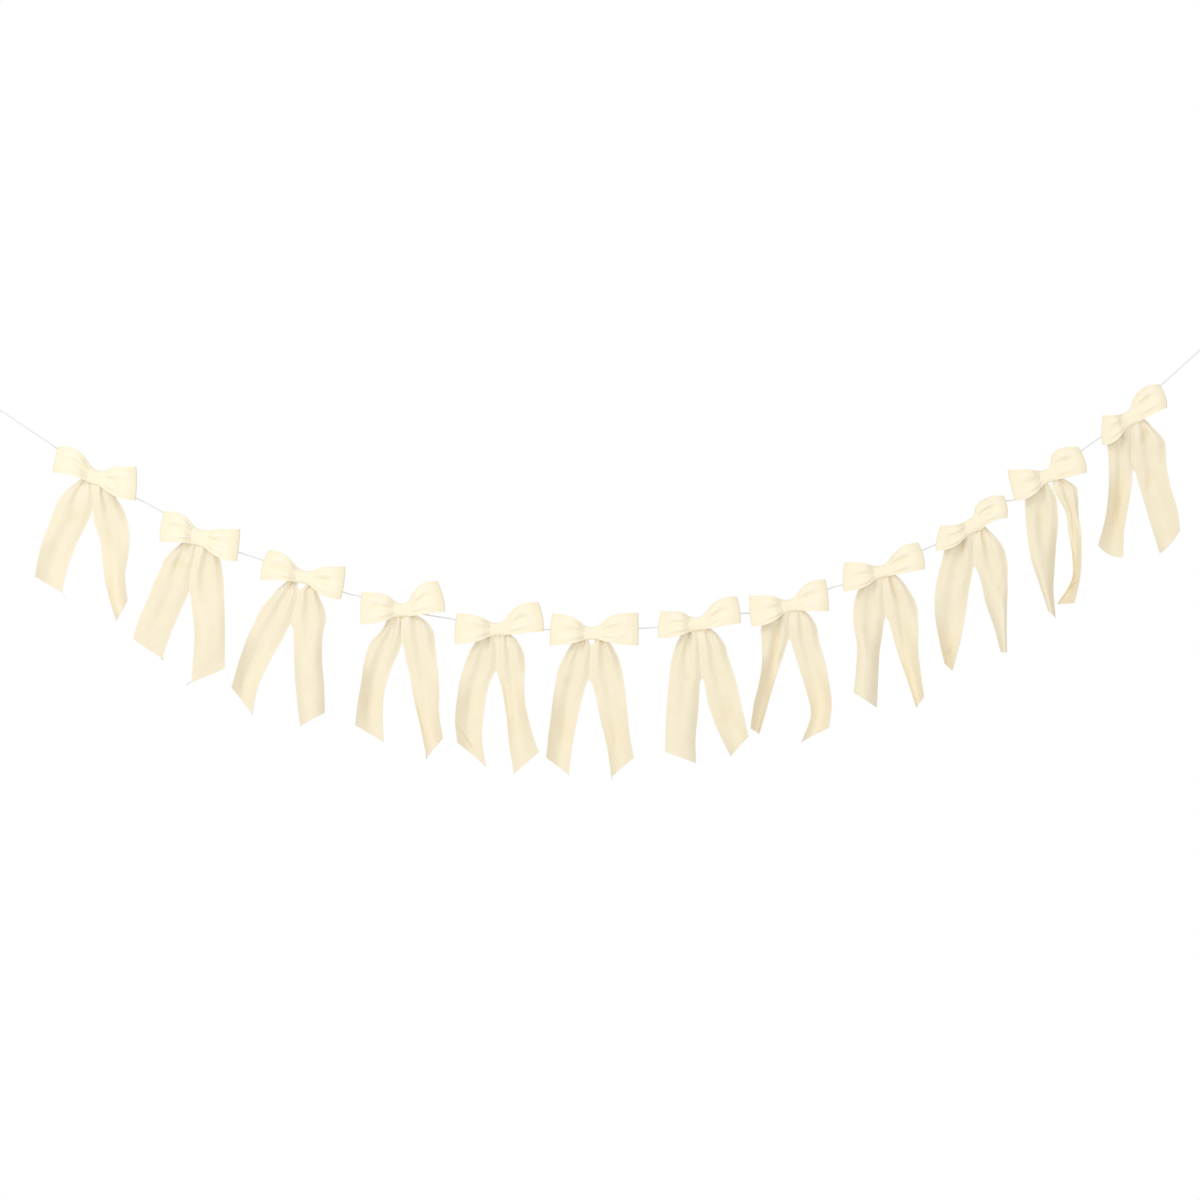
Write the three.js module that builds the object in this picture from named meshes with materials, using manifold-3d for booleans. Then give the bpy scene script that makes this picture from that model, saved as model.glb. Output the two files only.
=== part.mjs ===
// Bow garland: twelve ribbon bows on one cord, hung by the loops tied at the cord's two ends.
// Millimetres. +X runs along the garland, +Z is up, -Y faces the room and +Y the wall.
// The origin is where the left hanging loop bears on what holds it.
import * as THREE from "three";
import Module from "manifold-3d";
import { mergeVertices } from "three/addons/utils/BufferGeometryUtils.js";

const { clamp, degToRad, lerp, smoothstep } = THREE.MathUtils;

const wasm = await Module();
wasm.setup();

// Ribbon
const RIBBON_WIDTH = 50;
const CLOTH = 1.2;
const PACKED_CLOTH = 1.8;

// Knot band round each waist, and the places of the layers it holds
const KNOT_WIDTH = 15;
const KNOT_HALF_HEIGHT = 8.4;
const KNOT_FRONT = -6;
const KNOT_BACK = 6.2;
const KNOT_CHAMFER = 1.8;
const KNOT_WALL = 1.3;
const EXIT = 8.8;
const FRONT_LAYER = -3.3;
const BACK_LAYER = -1.1;
const TAIL_LAYER = 1.1;
const LOOP_WAIST = 5.8;
const TAIL_WAIST = 5.6;

// Loops stand forward of the tails, and are deepest between the knot and the outer fold
const LOOP_FORWARD = 5.5;
const LOOP_DEPTH = 11;
const FOLD_DEPTH = 7;

// Tails stay clear of the wall
const WALL_SIDE = 3;

// Cord: it runs behind the middle of each bow, inside the knot
const CORD_DIAMETER = 2;
const CORD_DEPTH = 3.5;
const CORD_SIDES = 8;
const CORD_STEPS = 78;
const CORD_TENSION = 0.3;
const EYE_STEPS = 22;
const EYE_KNOT_SIDES = 12;

const CREAM = 0xf4e8cd;
const PALE_CREAM = 0xfbeed4;
const CORD_WHITE = 0xdfe0dc;
const VELVET_ROUGHNESS = 0.9;
const CORD_ROUGHNESS = 0.6;

const MERGE_DISTANCE = 1e-4;

function table(columns, rows) {
  const names = columns.split(" ");
  return rows.map((row) => Object.fromEntries(names.map((name, i) => [name, row[i]])));
}

// A row for each bow: its knot's place, the lean of its waist in degrees, how much further up
// than down the knot and the loops in it reach, and the two sides of the slit between its tails,
// just under the knot.
const BOWS = table("across rise tilt lift slitFrom slitTo", [
  [193, -138, -15, 5, -3, 1],
  [347.5, -229, -12, 7, -0.6, 0.6],
  [505, -286, -10, 2, -8, 0],
  [652, -335.5, -2, 3, -0.6, 0.6],
  [796, -364, 1, 2.5, -2.4, -0.4],
  [937, -370, 0, 2, -3.5, 2.5],
  [1094.5, -356.5, 6, 3, -0.6, 0.6],
  [1234, -328, 8, 1.5, -0.6, 0.6],
  [1372, -277, 11, 1.5, -0.6, 0.6],
  [1508.5, -209.5, 18, 5, -0.6, 0.6],
  [1621, -134.5, 18, 3, -0.6, 0.6],
  [1744, -49, 24, 5, -0.6, 0.6],
]);

// A row for each loop, left and right of each bow in turn: the two ends of its outer fold,
// outwards from the knot and up from it, how fast its upper and lower edges part next to the
// knot, how far its upper edge puffs back over the knot, and how far its fold is rounded out.
const LOOPS = table("topOut topRise bottomOut bottomRise flare lowerFlare puff crown", [
  [55, 50, 64, 10, 2.8, 2.2, 0, 1],
  [61, 19, 60, -32, 6, 2.2, 0, 1.5],
  [51, 43, 58, -3, 3.1, 2.2, 0, 2],
  [62, 16.5, 57, -32, 6, 2.2, 0, 1],
  [52, 42, 64, -3, 2.3, 2.2, 0, 3.5],
  [62, 17.5, 55, -32, 5, 2.2, 0, 2],
  [60, 28, 61, -20, 4, 2.2, 0, 1],
  [53, 45, 65, -1, 3.3, 1, 0, 2.5],
  [61, 25.5, 64, -21, 2.3, 2.2, 0, 1.5],
  [60, 42, 68, -2, 3.1, 1, 0, 3],
  [59, 31, 63, -17, 2.4, 2.2, 0, 1],
  [69, 32, 69, -17, 3.4, 2.2, 0, 0.5],
  [53, 21, 57, -20, 5, 2.2, 0, 3],
  [59, 43, 65, 3, 2.7, 1, 0, 2],
  [61, 16, 57, -31, 4.2, 2.2, 0, 1.5],
  [52, 40, 57, -8, 3, 2.2, 1, 2],
  [56, 15, 58, -29, 3, 2.2, 0, 2],
  [53, 44, 63, 4, 2.5, 1, 1, 3.5],
  [50, 2, 58, -36, 5, 2.2, 0, 2],
  [46, 48, 51, 13, 5, 2.2, 9, 2],
  [61, 11, 50, -36, 6, 2.2, 0, 1],
  [44, 45, 57, 6, 6, 1, 6, 3.5],
  [41, 7, 42, -38, 5, 2.2, 0, 2],
  [44, 54, 56, 18, 4.6, 1.2, 9, 2],
]);

// A row for each tail, left and right of each bow in turn: how far out from the knot its outer
// and inner edges hang where it spreads, at the shoulder, below it, at the middle, low down and
// at the cut end, how far down each edge ends, how much nearer the room the outer edge is, and
// whether the tail is hollow (1) or ridged (-1) along its middle.
const TAILS = table(
  "spreadOut spreadIn shoulderOut shoulderIn betweenOut betweenIn middleOut middleIn " +
    "lowOut lowIn endOut endIn dropOut dropIn turn hollow",
  [
    [55, 3, 60, 5, 69, 17, 78, 31, 86, 43, 91, 51, 146, 170, 6, 1],
    [31, -2, 43, -4, 50, 6, 50, 10, 45, 18, 49, 31, 180, 213, 18, 1],
    [51, 6, 56, 13, 67, 15, 77, 28, 90, 43, 99, 55, 147, 177, 5, 1],
    [31, -5, 36, -12, 38, -12, 39, -7, 39, -8, 39, -12, 191, 214, 6, -1],
    [49, 9, 63, 18, 76, 30, 88, 50, 99, 69, 108, 77, 163, 203, 8, 1],
    [23, -8, 33, -16, 28, -15, 27, -14, 30, -11, 31, -6, 202, 222, 5, -1],
    [30, 1, 47, 2, 56, 15, 60, 26, 66, 29, 70, 27, 171, 197, 14, 1],
    [46, 0, 50, 3, 53, 11, 56, 18, 56, 28, 62, 37, 190, 220, 16, 1],
    [40, 2, 48, 3, 56, 15, 61, 21, 64, 24, 61, 18, 168, 205, 8, 1],
    [36, -1, 41, -2, 39, 7, 41, 13, 49, 17, 61, 24, 183, 216, 16, 1],
    [39, 2, 50, 4, 56, 13, 60, 22, 65, 30, 69, 35, 185, 211, 10, 1],
    [36, -1, 44, -3, 49, 5, 52, 13, 56, 23, 62, 29, 185, 215, 12, 1],
    [31, -3, 38, -5, 42, -4, 45, -2, 47, 2, 48, 2, 190, 207, 4, -1],
    [41, 4, 46, 6, 55, 11, 62, 17, 69, 31, 77, 50, 167, 197, 6, 1],
    [42, 1, 43, 3, 42, 13, 46, 24, 55, 35, 60, 46, 183, 192, 20, 1],
    [39, 0, 43, 2, 51, 12, 57, 23, 62, 31, 58, 17, 182, 204, 12, 1],
    [36, -2, 42, -4, 43, -1, 38, 4, 39, 6, 43, 8, 180, 203, 14, -1],
    [41, 3, 52, 5, 54, 14, 53, 24, 57, 38, 62, 51, 186, 204, 22, 1],
    [40, 0, 48, 0, 56, 6, 58, 11, 53, 20, 44, 31, 204, 216, 8, 1],
    [44, 1, 51, 2, 51, 12, 50, 19, 49, 32, 50, 42, 188, 188, 22, -1],
    [33, -11, 34, -15, 32, -13, 26, -10, 12, -8, -1, -11, 200, 210, 16, -1],
    [43, 12.5, 45, 26, 49, 31, 50, 36, 48, 38, 39, 16, 187, 187, 24, 1],
    [34, -2, 33, -2, 32, -3, 34, 1, 39, 8, 49, 11, 187, 205, 6, 1],
    [49, 3.5, 52, 3.5, 53, 10, 58, 19, 69, 32, 74, 44, 164, 199, 14, 1],
  ],
);

// The cord's route from its left eye's knot to its right eye's knot, through every bow.
const CORD_ROUTE = [
  [34.5, -24], [49, -34], [127, -86.5], [193, -136], [268, -173.5], [292, -187],
  [347.5, -227], [415, -250], [440.5, -258.5], [505, -284], [568, -308.5],
  [589, -313.8], [652, -333.5], [698.5, -343], [727, -347.5], [796, -362], [863.5, -363.4],
  [872.5, -363.5], [937, -368], [1009, -361.8], [1031.5, -360.3], [1094.5, -354.5],
  [1160.5, -339.3], [1172.5, -338.5], [1234, -326], [1294, -301.4], [1313.5, -295.9],
  [1372, -275], [1436.5, -243.1], [1453, -235.5], [1508.5, -207.5], [1558, -171],
  [1569.3, -168.6], [1621, -132.5], [1676.5, -91.3], [1696, -77.5], [1744, -47],
  [1789, 1.3], [1849, 56], [1861, 67],
];

const garland = new THREE.Group();

function material(color, roughness) {
  return new THREE.MeshStandardMaterial({ color, roughness, metalness: 0 });
}

function addPiece(name, geometry, finish, place = new THREE.Vector3()) {
  const piece = new THREE.Mesh(geometry, finish);
  piece.name = name;
  piece.position.copy(place);
  garland.add(piece);
  return piece;
}

function ease(t) {
  return smoothstep(t, 0, 1);
}

// A sheet of the given thicknesses on a grid of points: rows run along the ribbon, and each row
// crosses it. A closed sheet joins its last row to its first.
function sheetGeometry(rows, thicknesses, closed) {
  const rowCount = rows.length;
  const acrossCount = rows[0].length;
  const row = (i) => rows[closed ? (i + rowCount) % rowCount : clamp(i, 0, rowCount - 1)];
  const positions = [];
  for (const side of [-1, 1]) {
    for (let i = 0; i < rowCount; i += 1) {
      for (let j = 0; j < acrossCount; j += 1) {
        const along = row(i + 1)[j].clone().sub(row(i - 1)[j]);
        const across = row(i)[Math.min(j + 1, acrossCount - 1)].clone().sub(row(i)[Math.max(j - 1, 0)]);
        const normal = along.cross(across).normalize();
        const point = row(i)[j].clone().addScaledVector(normal, (side * thicknesses[i]) / 2);
        positions.push(point.x, point.y, point.z);
      }
    }
  }
  const index = [];
  const vertex = (layer, i, j) => (layer * rowCount + (i % rowCount)) * acrossCount + j;
  const quad = (a, b, c, d) => index.push(a, b, c, a, c, d);
  const spans = closed ? rowCount : rowCount - 1;
  const last = acrossCount - 1;
  for (let i = 0; i < spans; i += 1) {
    for (let j = 0; j < last; j += 1) {
      quad(vertex(1, i, j), vertex(1, i + 1, j), vertex(1, i + 1, j + 1), vertex(1, i, j + 1));
      quad(vertex(0, i, j), vertex(0, i, j + 1), vertex(0, i + 1, j + 1), vertex(0, i + 1, j));
    }
    quad(vertex(0, i, 0), vertex(0, i + 1, 0), vertex(1, i + 1, 0), vertex(1, i, 0));
    quad(vertex(0, i, last), vertex(1, i, last), vertex(1, i + 1, last), vertex(0, i + 1, last));
  }
  for (let j = 0; j < last && !closed; j += 1) {
    quad(vertex(0, 0, j), vertex(1, 0, j), vertex(1, 0, j + 1), vertex(0, 0, j + 1));
    quad(vertex(0, spans, j), vertex(0, spans, j + 1), vertex(1, spans, j + 1), vertex(1, spans, j));
  }
  const geometry = new THREE.BufferGeometry();
  geometry.setAttribute("position", new THREE.Float32BufferAttribute(positions, 3));
  geometry.setIndex(index);
  geometry.computeVertexNormals();
  return geometry;
}

// A row of points between two edge points, each point moved in depth by the profile.
const ACROSS = [-1, -0.5, 0, 0.5, 1];

function crossRow(lower, upper, depths) {
  return ACROSS.map((v, j) => {
    const x = lerp(lower.x, upper.x, (v + 1) / 2);
    const z = lerp(lower.y, upper.y, (v + 1) / 2);
    return new THREE.Vector3(x, depths[j], z);
  });
}

// Where a layer leaves the knot, on one side, with its lower and upper edge.
function waistEdges(tilt, side, distance, halfHeight, lift = 0) {
  const along = new THREE.Vector2(Math.cos(tilt), Math.sin(tilt)).multiplyScalar(side * distance);
  const up = new THREE.Vector2(-Math.sin(tilt), Math.cos(tilt));
  return {
    lower: along.clone().addScaledVector(up, -halfHeight),
    upper: along.clone().addScaledVector(up, halfHeight + lift),
  };
}

// Loops: one closed band, across the front of the knot, round both outer folds, and back across
// behind it. The middle of each loop has a trough between two soft ridges.
const FRONT_STATIONS = [0, 0.12, 0.28, 0.62, 0.94];
const BACK_STATIONS = [0.94, 0.3, 0.12, 0];
const PUFF = { fullBy: 0.12, gone: 0.45 };
const CROWN_FROM = 0.4;
const FORWARD_BY = 0.3;
const BULGE_SKEW = 0.8;
const FOLD_OPENS = { from: 0.5, to: 0.9 };
const CREASE = { depth: 3, fullBy: 0.25, fadesFrom: 0.3, fadesTo: 0.9, behind: -0.3 };

function loopEdges(loop, { tilt, lift }, side, t) {
  const waist = waistEdges(tilt, side, EXIT, LOOP_WAIST, lift);
  const edge = (start, out, rise, flare) =>
    new THREE.Vector2(
      lerp(start.x, side * out, t),
      lerp(start.y, rise, 1 - (1 - t) ** flare),
    );
  const lower = edge(waist.lower, loop.bottomOut, loop.bottomRise, loop.lowerFlare);
  const upper = edge(waist.upper, loop.topOut, loop.topRise, loop.flare);
  upper.x -= side * loop.puff * ease(t / PUFF.fullBy) * (1 - smoothstep(t, PUFF.fullBy, PUFF.gone));
  return { lower, upper };
}

function backDepth(t) {
  return BACK_LAYER - LOOP_FORWARD * ease(t / FORWARD_BY);
}

function loopOpening(t) {
  const atKnot = BACK_LAYER - FRONT_LAYER;
  const bulge = Math.sin(Math.PI * t ** BULGE_SKEW);
  const fold = smoothstep(t, FOLD_OPENS.from, FOLD_OPENS.to);
  return atKnot + (LOOP_DEPTH - atKnot) * bulge + (FOLD_DEPTH - atKnot) * fold;
}

function loopRow(loop, bow, side, t, layer) {
  const { lower, upper } = loopEdges(loop, bow, side, t);
  const fade = smoothstep(t, CREASE.fadesFrom, CREASE.fadesTo);
  const crease = CREASE.depth * ease(t / CREASE.fullBy) * (1 - fade);
  const back = backDepth(t);
  const depth = { front: back - loopOpening(t), back, fold: back - FOLD_DEPTH / 2 };
  const relief = { front: crease, back: CREASE.behind * crease, fold: 0 };
  const depths = ACROSS.map((v) => depth[layer] + relief[layer] * Math.cos(2 * Math.PI * v) * (1 - v * v));
  const row = crossRow(lower, upper, depths);
  const rounded = loop.crown * smoothstep(t, CROWN_FROM, 1);
  row.forEach((point, j) => {
    point.x += side * rounded * (1 - ACROSS[j] ** 2);
  });
  return row;
}

function loopsGeometry(bow, left, right) {
  const rows = [];
  const thicknesses = [];
  const add = (row, thickness) => {
    rows.push(row);
    thicknesses.push(thickness);
  };
  const cloth = (t) => (t === 0 ? PACKED_CLOTH : CLOTH);
  const middle = (depth) => {
    const { lower, upper } = waistEdges(bow.tilt, 0, 0, LOOP_WAIST, bow.lift);
    add(crossRow(lower, upper, ACROSS.map(() => depth)), PACKED_CLOTH);
  };
  middle(FRONT_LAYER);
  FRONT_STATIONS.forEach((t) => add(loopRow(right, bow, 1, t, "front"), cloth(t)));
  add(loopRow(right, bow, 1, 1, "fold"), CLOTH);
  BACK_STATIONS.forEach((t) => add(loopRow(right, bow, 1, t, "back"), cloth(t)));
  middle(BACK_LAYER);
  [...BACK_STATIONS].reverse().forEach((t) => add(loopRow(left, bow, -1, t, "back"), cloth(t)));
  add(loopRow(left, bow, -1, 1, "fold"), CLOTH);
  [...FRONT_STATIONS].reverse().forEach((t) => add(loopRow(left, bow, -1, t, "front"), cloth(t)));
  return sheetGeometry(rows, thicknesses, true);
}

// Tails: one ribbon through the knot, which turns down on both sides of it. It leaves a slit
// under the knot, fans out in two pleats, and hangs to its slanted ends.
const TURN = { least: 16, share: 0.42, drop: 4, lean: 14, inner: [8.2, -9.6], pleat: 0.5 };
const NECK = { share: 0.77, drop: 13, lean: 0.5, pleat: 2 };
const SLIT_TOP = 12;
const SLIT_DEEPENS = 0.3;
const SLIT_LEANS = 3;
const SPREAD_DROP = 28;
const SPREAD_PLEAT = 4;
const LEVELS = { shoulder: 0.27, between: 0.43, middle: 0.6, low: 0.8, end: 1 };
const HANG_PLEATS = [3.6, 2.4, 1.2, 0.6, 0];
const HANG_BACK = 2;
const SETTLED_BY_ROW = 2;
const RIDGES = [0, 1, 0, 1, 0];

function pleatDepths(base, pleat) {
  return RIDGES.map((ridge) => base - ridge * pleat);
}

// Depths of a hanging section, hollow or ridged by as much as keeps the ribbon's full width: a
// shallow arc is longer than its chord by 8/3 of its sag squared over the chord.
function hangingDepths(tail, lower, upper, along, pleat, share) {
  const span = upper.clone().sub(lower);
  const width = Math.abs(span.x * along.y - span.y * along.x);
  const turn = tail.turn * share;
  const slanted = Math.hypot(width, turn);
  const sag = share * Math.sqrt((3 / 8) * slanted * Math.max(0, RIBBON_WIDTH - slanted));
  const raw = pleatDepths(0, pleat).map(
    (depth, j) => depth - (turn * ACROSS[j]) / 2 + tail.hollow * sag * (1 - ACROSS[j] ** 2),
  );
  const furthest = Math.max(...raw);
  const base = TAIL_LAYER - HANG_BACK * share;
  return raw.map((depth) => depth + Math.min(base, WALL_SIDE - furthest));
}

function hangingPoint(tail, side, edge, level) {
  return new THREE.Vector2(side * tail[level + edge], -tail[`drop${edge}`] * LEVELS[level]);
}

function tailRows(tail, tilt, side, slit) {
  const rows = [];
  const exit = waistEdges(tilt, side, EXIT, TAIL_WAIST);
  rows.push(crossRow(exit.lower, exit.upper, pleatDepths(TAIL_LAYER, 0)));
  const knotCentre = new THREE.Vector2();
  const turnOut = Math.max(TURN.least, TURN.share * tail.spreadOut);
  const leanUp = side * Math.sin(tilt);
  const turnUpper = new THREE.Vector2(side * turnOut, TURN.lean * leanUp - TURN.drop);
  const turnLower = new THREE.Vector2(side * TURN.inner[0], TURN.inner[1]);
  turnLower.rotateAround(knotCentre, tilt);
  rows.push(crossRow(turnLower, turnUpper, pleatDepths(TAIL_LAYER, TURN.pleat)));
  const neckUpper = new THREE.Vector2(side * NECK.share * tail.spreadOut, -NECK.drop);
  const slitTop = SLIT_TOP + SLIT_DEEPENS * (slit.to - slit.from) - SLIT_LEANS * Math.min(0, leanUp);
  const neckLower = new THREE.Vector2(side > 0 ? slit.to : slit.from, -slitTop);
  neckLower.rotateAround(knotCentre, tilt * NECK.lean);
  rows.push(crossRow(neckLower, neckUpper, pleatDepths(TAIL_LAYER, NECK.pleat)));
  const spreadIn = new THREE.Vector2(side * tail.spreadIn, -SPREAD_DROP);
  const spreadOut = new THREE.Vector2(side * tail.spreadOut, -SPREAD_DROP);
  rows.push(crossRow(spreadIn, spreadOut, pleatDepths(TAIL_LAYER, SPREAD_PLEAT)));
  const levels = Object.keys(LEVELS);
  const middleOf = (level) =>
    hangingPoint(tail, side, "In", level).add(hangingPoint(tail, side, "Out", level)).multiplyScalar(0.5);
  levels.forEach((level, k) => {
    const lower = hangingPoint(tail, side, "In", level);
    const upper = hangingPoint(tail, side, "Out", level);
    const before = middleOf(levels[Math.max(k - 1, 0)]);
    const along = middleOf(levels[Math.min(k + 1, levels.length - 1)]).sub(before).normalize();
    const share = ease(k / SETTLED_BY_ROW);
    const depths = hangingDepths(tail, lower, upper, along, HANG_PLEATS[k], share);
    rows.push(crossRow(lower, upper, depths));
  });
  return rows;
}

function tailsGeometry(tilt, left, right, slit) {
  const centre = waistEdges(tilt, 0, 0, TAIL_WAIST);
  const leftRows = tailRows(left, tilt, -1, slit).reverse();
  const rightRows = tailRows(right, tilt, 1, slit);
  const centreRow = crossRow(centre.lower, centre.upper, pleatDepths(TAIL_LAYER, 0));
  const rows = [...leftRows, centreRow, ...rightRows];
  const packed = leftRows.length;
  const thicknesses = rows.map((_, i) => (Math.abs(i - packed) <= 1 ? PACKED_CLOTH : CLOTH));
  return sheetGeometry(rows, thicknesses, false);
}

// The knot band: a short sleeve round the waist, open at both sides.
function chamferedOutline(path, inset, lift) {
  const bottom = inset - KNOT_HALF_HEIGHT;
  const top = KNOT_HALF_HEIGHT + lift - inset;
  const front = KNOT_FRONT + inset;
  const back = KNOT_BACK - inset;
  const cut = KNOT_CHAMFER - inset * (2 - Math.SQRT2);
  const corners = [
    [back - cut, top], [front + cut, top], [front, top - cut], [front, bottom + cut],
    [front + cut, bottom], [back - cut, bottom], [back, bottom + cut], [back, top - cut],
  ];
  path.setFromPoints(corners.map(([y, z]) => new THREE.Vector2(y, z)));
  path.closePath();
  return path;
}

function knotGeometry({ tilt, lift }) {
  const outline = chamferedOutline(new THREE.Shape(), 0, lift);
  outline.holes.push(chamferedOutline(new THREE.Path(), KNOT_WALL, lift));
  const sleeve = new THREE.ExtrudeGeometry(outline, { depth: KNOT_WIDTH, bevelEnabled: false });
  sleeve.translate(0, 0, -KNOT_WIDTH / 2);
  const axes = new THREE.Matrix4().makeBasis(
    new THREE.Vector3(0, 1, 0),
    new THREE.Vector3(0, 0, 1),
    new THREE.Vector3(1, 0, 0),
  );
  return sleeve.applyMatrix4(axes).rotateY(-tilt);
}

function tube(curve, steps) {
  const section = new THREE.Shape();
  for (let i = 0; i < CORD_SIDES; i += 1) {
    const angle = (2 * Math.PI * (i + 0.5)) / CORD_SIDES;
    const x = (Math.cos(angle) * CORD_DIAMETER) / 2;
    const y = (Math.sin(angle) * CORD_DIAMETER) / 2;
    if (i === 0) {
      section.moveTo(x, y);
    } else {
      section.lineTo(x, y);
    }
  }
  section.closePath();
  return new THREE.ExtrudeGeometry(section, { steps, bevelEnabled: false, extrudePath: curve });
}

function solid(geometry) {
  const bare = geometry.index ? geometry.clone() : geometry;
  bare.deleteAttribute("normal");
  bare.deleteAttribute("uv");
  const merged = mergeVertices(bare, MERGE_DISTANCE);
  const mesh = new wasm.Mesh({
    numProp: 3,
    vertProperties: Float32Array.from(merged.attributes.position.array),
    triVerts: Uint32Array.from(merged.index.array),
  });
  return new wasm.Manifold(mesh);
}

function geometryOf(manifold) {
  const mesh = manifold.getMesh();
  const geometry = new THREE.BufferGeometry();
  geometry.setAttribute("position", new THREE.Float32BufferAttribute(mesh.vertProperties, 3));
  geometry.setIndex(Array.from(mesh.triVerts));
  geometry.computeVertexNormals();
  return geometry;
}

// A hanging loop in its own frame: the cord meets its knot at the origin and it runs along +X.
// The eye's outline goes out on one side from the knot to the far end, and back on the other.
const EYE_OUTLINE = table("along out", [[6, 0.6], [14, 4.7], [31, 8.5], [40, 6.4]]);
const EYE_END = 43;
const EYE_KNOT_PROFILE = table("radius along", [
  [0, 0.3],
  [2, 0.3],
  [2.8, 2.4],
  [2.8, 5.6],
  [2, 8],
  [0, 8],
]);

function hangingLoopGeometry() {
  const wayOut = EYE_OUTLINE.map(({ along, out }) => new THREE.Vector3(along, 0, out));
  const wayBack = EYE_OUTLINE.map(({ along, out }) => new THREE.Vector3(along, 0, -out)).reverse();
  const eye = new THREE.CatmullRomCurve3([...wayOut, new THREE.Vector3(EYE_END, 0, 0), ...wayBack]);
  const profile = EYE_KNOT_PROFILE.map(({ radius, along }) => new THREE.Vector2(radius, along));
  const knot = new THREE.LatheGeometry(profile, EYE_KNOT_SIDES).rotateZ(-Math.PI / 2);
  return geometryOf(solid(tube(eye, EYE_STEPS)).add(solid(knot)));
}

function addHangingLoop(name, end, inner) {
  const away = new THREE.Vector2(end[0] - inner[0], end[1] - inner[1]);
  const place = new THREE.Vector3(end[0], 0, end[1]);
  const loop = addPiece(name, hangingLoopGeometry(), material(CORD_WHITE, CORD_ROUGHNESS), place);
  loop.rotation.y = -away.angle();
}

BOWS.forEach(({ across, rise, tilt: degrees, lift, slitFrom, slitTo }, i) => {
  const tilt = degToRad(degrees);
  const place = new THREE.Vector3(across, -CORD_DEPTH, rise);
  const bow = `bow_${String(i + 1).padStart(2, "0")}`;
  const loops = loopsGeometry({ tilt, lift }, LOOPS[2 * i], LOOPS[2 * i + 1]);
  const slit = { from: slitFrom, to: slitTo };
  const tails = tailsGeometry(tilt, TAILS[2 * i], TAILS[2 * i + 1], slit);
  addPiece(`${bow}_loops`, loops, material(PALE_CREAM, VELVET_ROUGHNESS), place);
  addPiece(`${bow}_tails`, tails, material(CREAM, VELVET_ROUGHNESS), place);
  addPiece(`${bow}_knot`, knotGeometry({ tilt, lift }), material(PALE_CREAM, VELVET_ROUGHNESS), place);
});

const route = CORD_ROUTE.map(([x, z]) => new THREE.Vector3(x, 0, z));
const cordCurve = new THREE.CatmullRomCurve3(route, false, "catmullrom", CORD_TENSION);
addPiece("cord", tube(cordCurve, CORD_STEPS), material(CORD_WHITE, CORD_ROUGHNESS));
addHangingLoop("left_hanging_loop", CORD_ROUTE[0], CORD_ROUTE[1]);
addHangingLoop("right_hanging_loop", CORD_ROUTE.at(-1), CORD_ROUTE.at(-2));

export default garland;
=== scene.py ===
"""Bow garland: twelve velvet ribbon bows on one thin twisted cord, hung by a loop at each end.

Tables and sizes are in millimetres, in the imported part's frame: +X runs along the garland, +Z is
up and -Y faces the room. They become metres where a mesh is made.
"""

import logging
import math
import random
from collections.abc import Callable, Sequence
from dataclasses import dataclass
from enum import Enum
from itertools import accumulate, pairwise
from typing import Any

import bmesh
import bpy
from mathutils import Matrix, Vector, noise


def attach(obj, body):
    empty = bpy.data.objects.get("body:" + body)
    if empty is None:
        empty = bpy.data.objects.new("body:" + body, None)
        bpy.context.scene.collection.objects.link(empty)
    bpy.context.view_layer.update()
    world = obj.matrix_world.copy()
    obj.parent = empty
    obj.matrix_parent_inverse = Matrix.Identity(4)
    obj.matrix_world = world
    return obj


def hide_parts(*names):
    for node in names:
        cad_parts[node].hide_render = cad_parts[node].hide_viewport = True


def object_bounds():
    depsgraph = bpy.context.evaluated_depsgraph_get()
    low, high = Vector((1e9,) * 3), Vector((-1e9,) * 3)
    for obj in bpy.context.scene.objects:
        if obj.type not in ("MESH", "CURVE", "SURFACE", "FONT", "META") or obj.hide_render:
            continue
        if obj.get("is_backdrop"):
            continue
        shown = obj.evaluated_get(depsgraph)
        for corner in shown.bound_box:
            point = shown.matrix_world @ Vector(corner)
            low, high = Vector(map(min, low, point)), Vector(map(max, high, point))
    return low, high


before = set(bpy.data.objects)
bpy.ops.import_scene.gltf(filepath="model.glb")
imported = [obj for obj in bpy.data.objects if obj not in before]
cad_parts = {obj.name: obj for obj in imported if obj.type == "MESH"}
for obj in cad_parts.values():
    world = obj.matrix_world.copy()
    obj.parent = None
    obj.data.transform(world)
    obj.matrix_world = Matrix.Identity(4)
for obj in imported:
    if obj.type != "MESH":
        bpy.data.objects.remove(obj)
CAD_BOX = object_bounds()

log = logging.getLogger("garland")

MM = 0.001

Shape = Callable[[float, float], Vector]
# A painted shade gives how much shade is painted on at a share along and a place across
PaintedShade = Callable[[float, float], float]


class Side(Enum):
    """Which half of a bow something is on, as the sign of its way along X."""

    LEFT = -1
    RIGHT = 1


class Slot(Enum):
    """The record's material slots."""

    LOOPS = "ribbon_loops"
    TAILS = "ribbon_tails"
    KNOTS = "ribbon_knots"
    CORD = "cord"


# The ribbon, and how far out from a knot's middle its loops and tails come out of it
RIBBON_WIDTH = 50.0
CLOTH = 0.8
EXIT = 8.8

# The cord, and how far in front of it the middle of a knot is
CORD_DIAMETER = 2.0
CORD_DEPTH = 3.5

# Vertices this close, in metres, are one; and the places across where a ribbon is measured
SAME_PLACE = 1e-7
MEASURED_AT = (-0.6, 0.0, 0.6)


# ------------------------------------------------------------------------- arithmetic


def clamp(value: float, low: float = 0.0, high: float = 1.0) -> float:
    """Returns the value, held between low and high."""
    return max(low, min(high, value))


def lerp(start: Any, end: Any, t: float) -> Any:
    """Returns the point or number a share t of the way from start to end."""
    return start + (end - start) * t


def smoothstep(value: float, low: float = 0.0, high: float = 1.0) -> float:
    """Returns 0 below low and 1 above high, with a soft rise between them."""
    t = clamp((value - low) / (high - low))
    return t * t * (3 - 2 * t)


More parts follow.
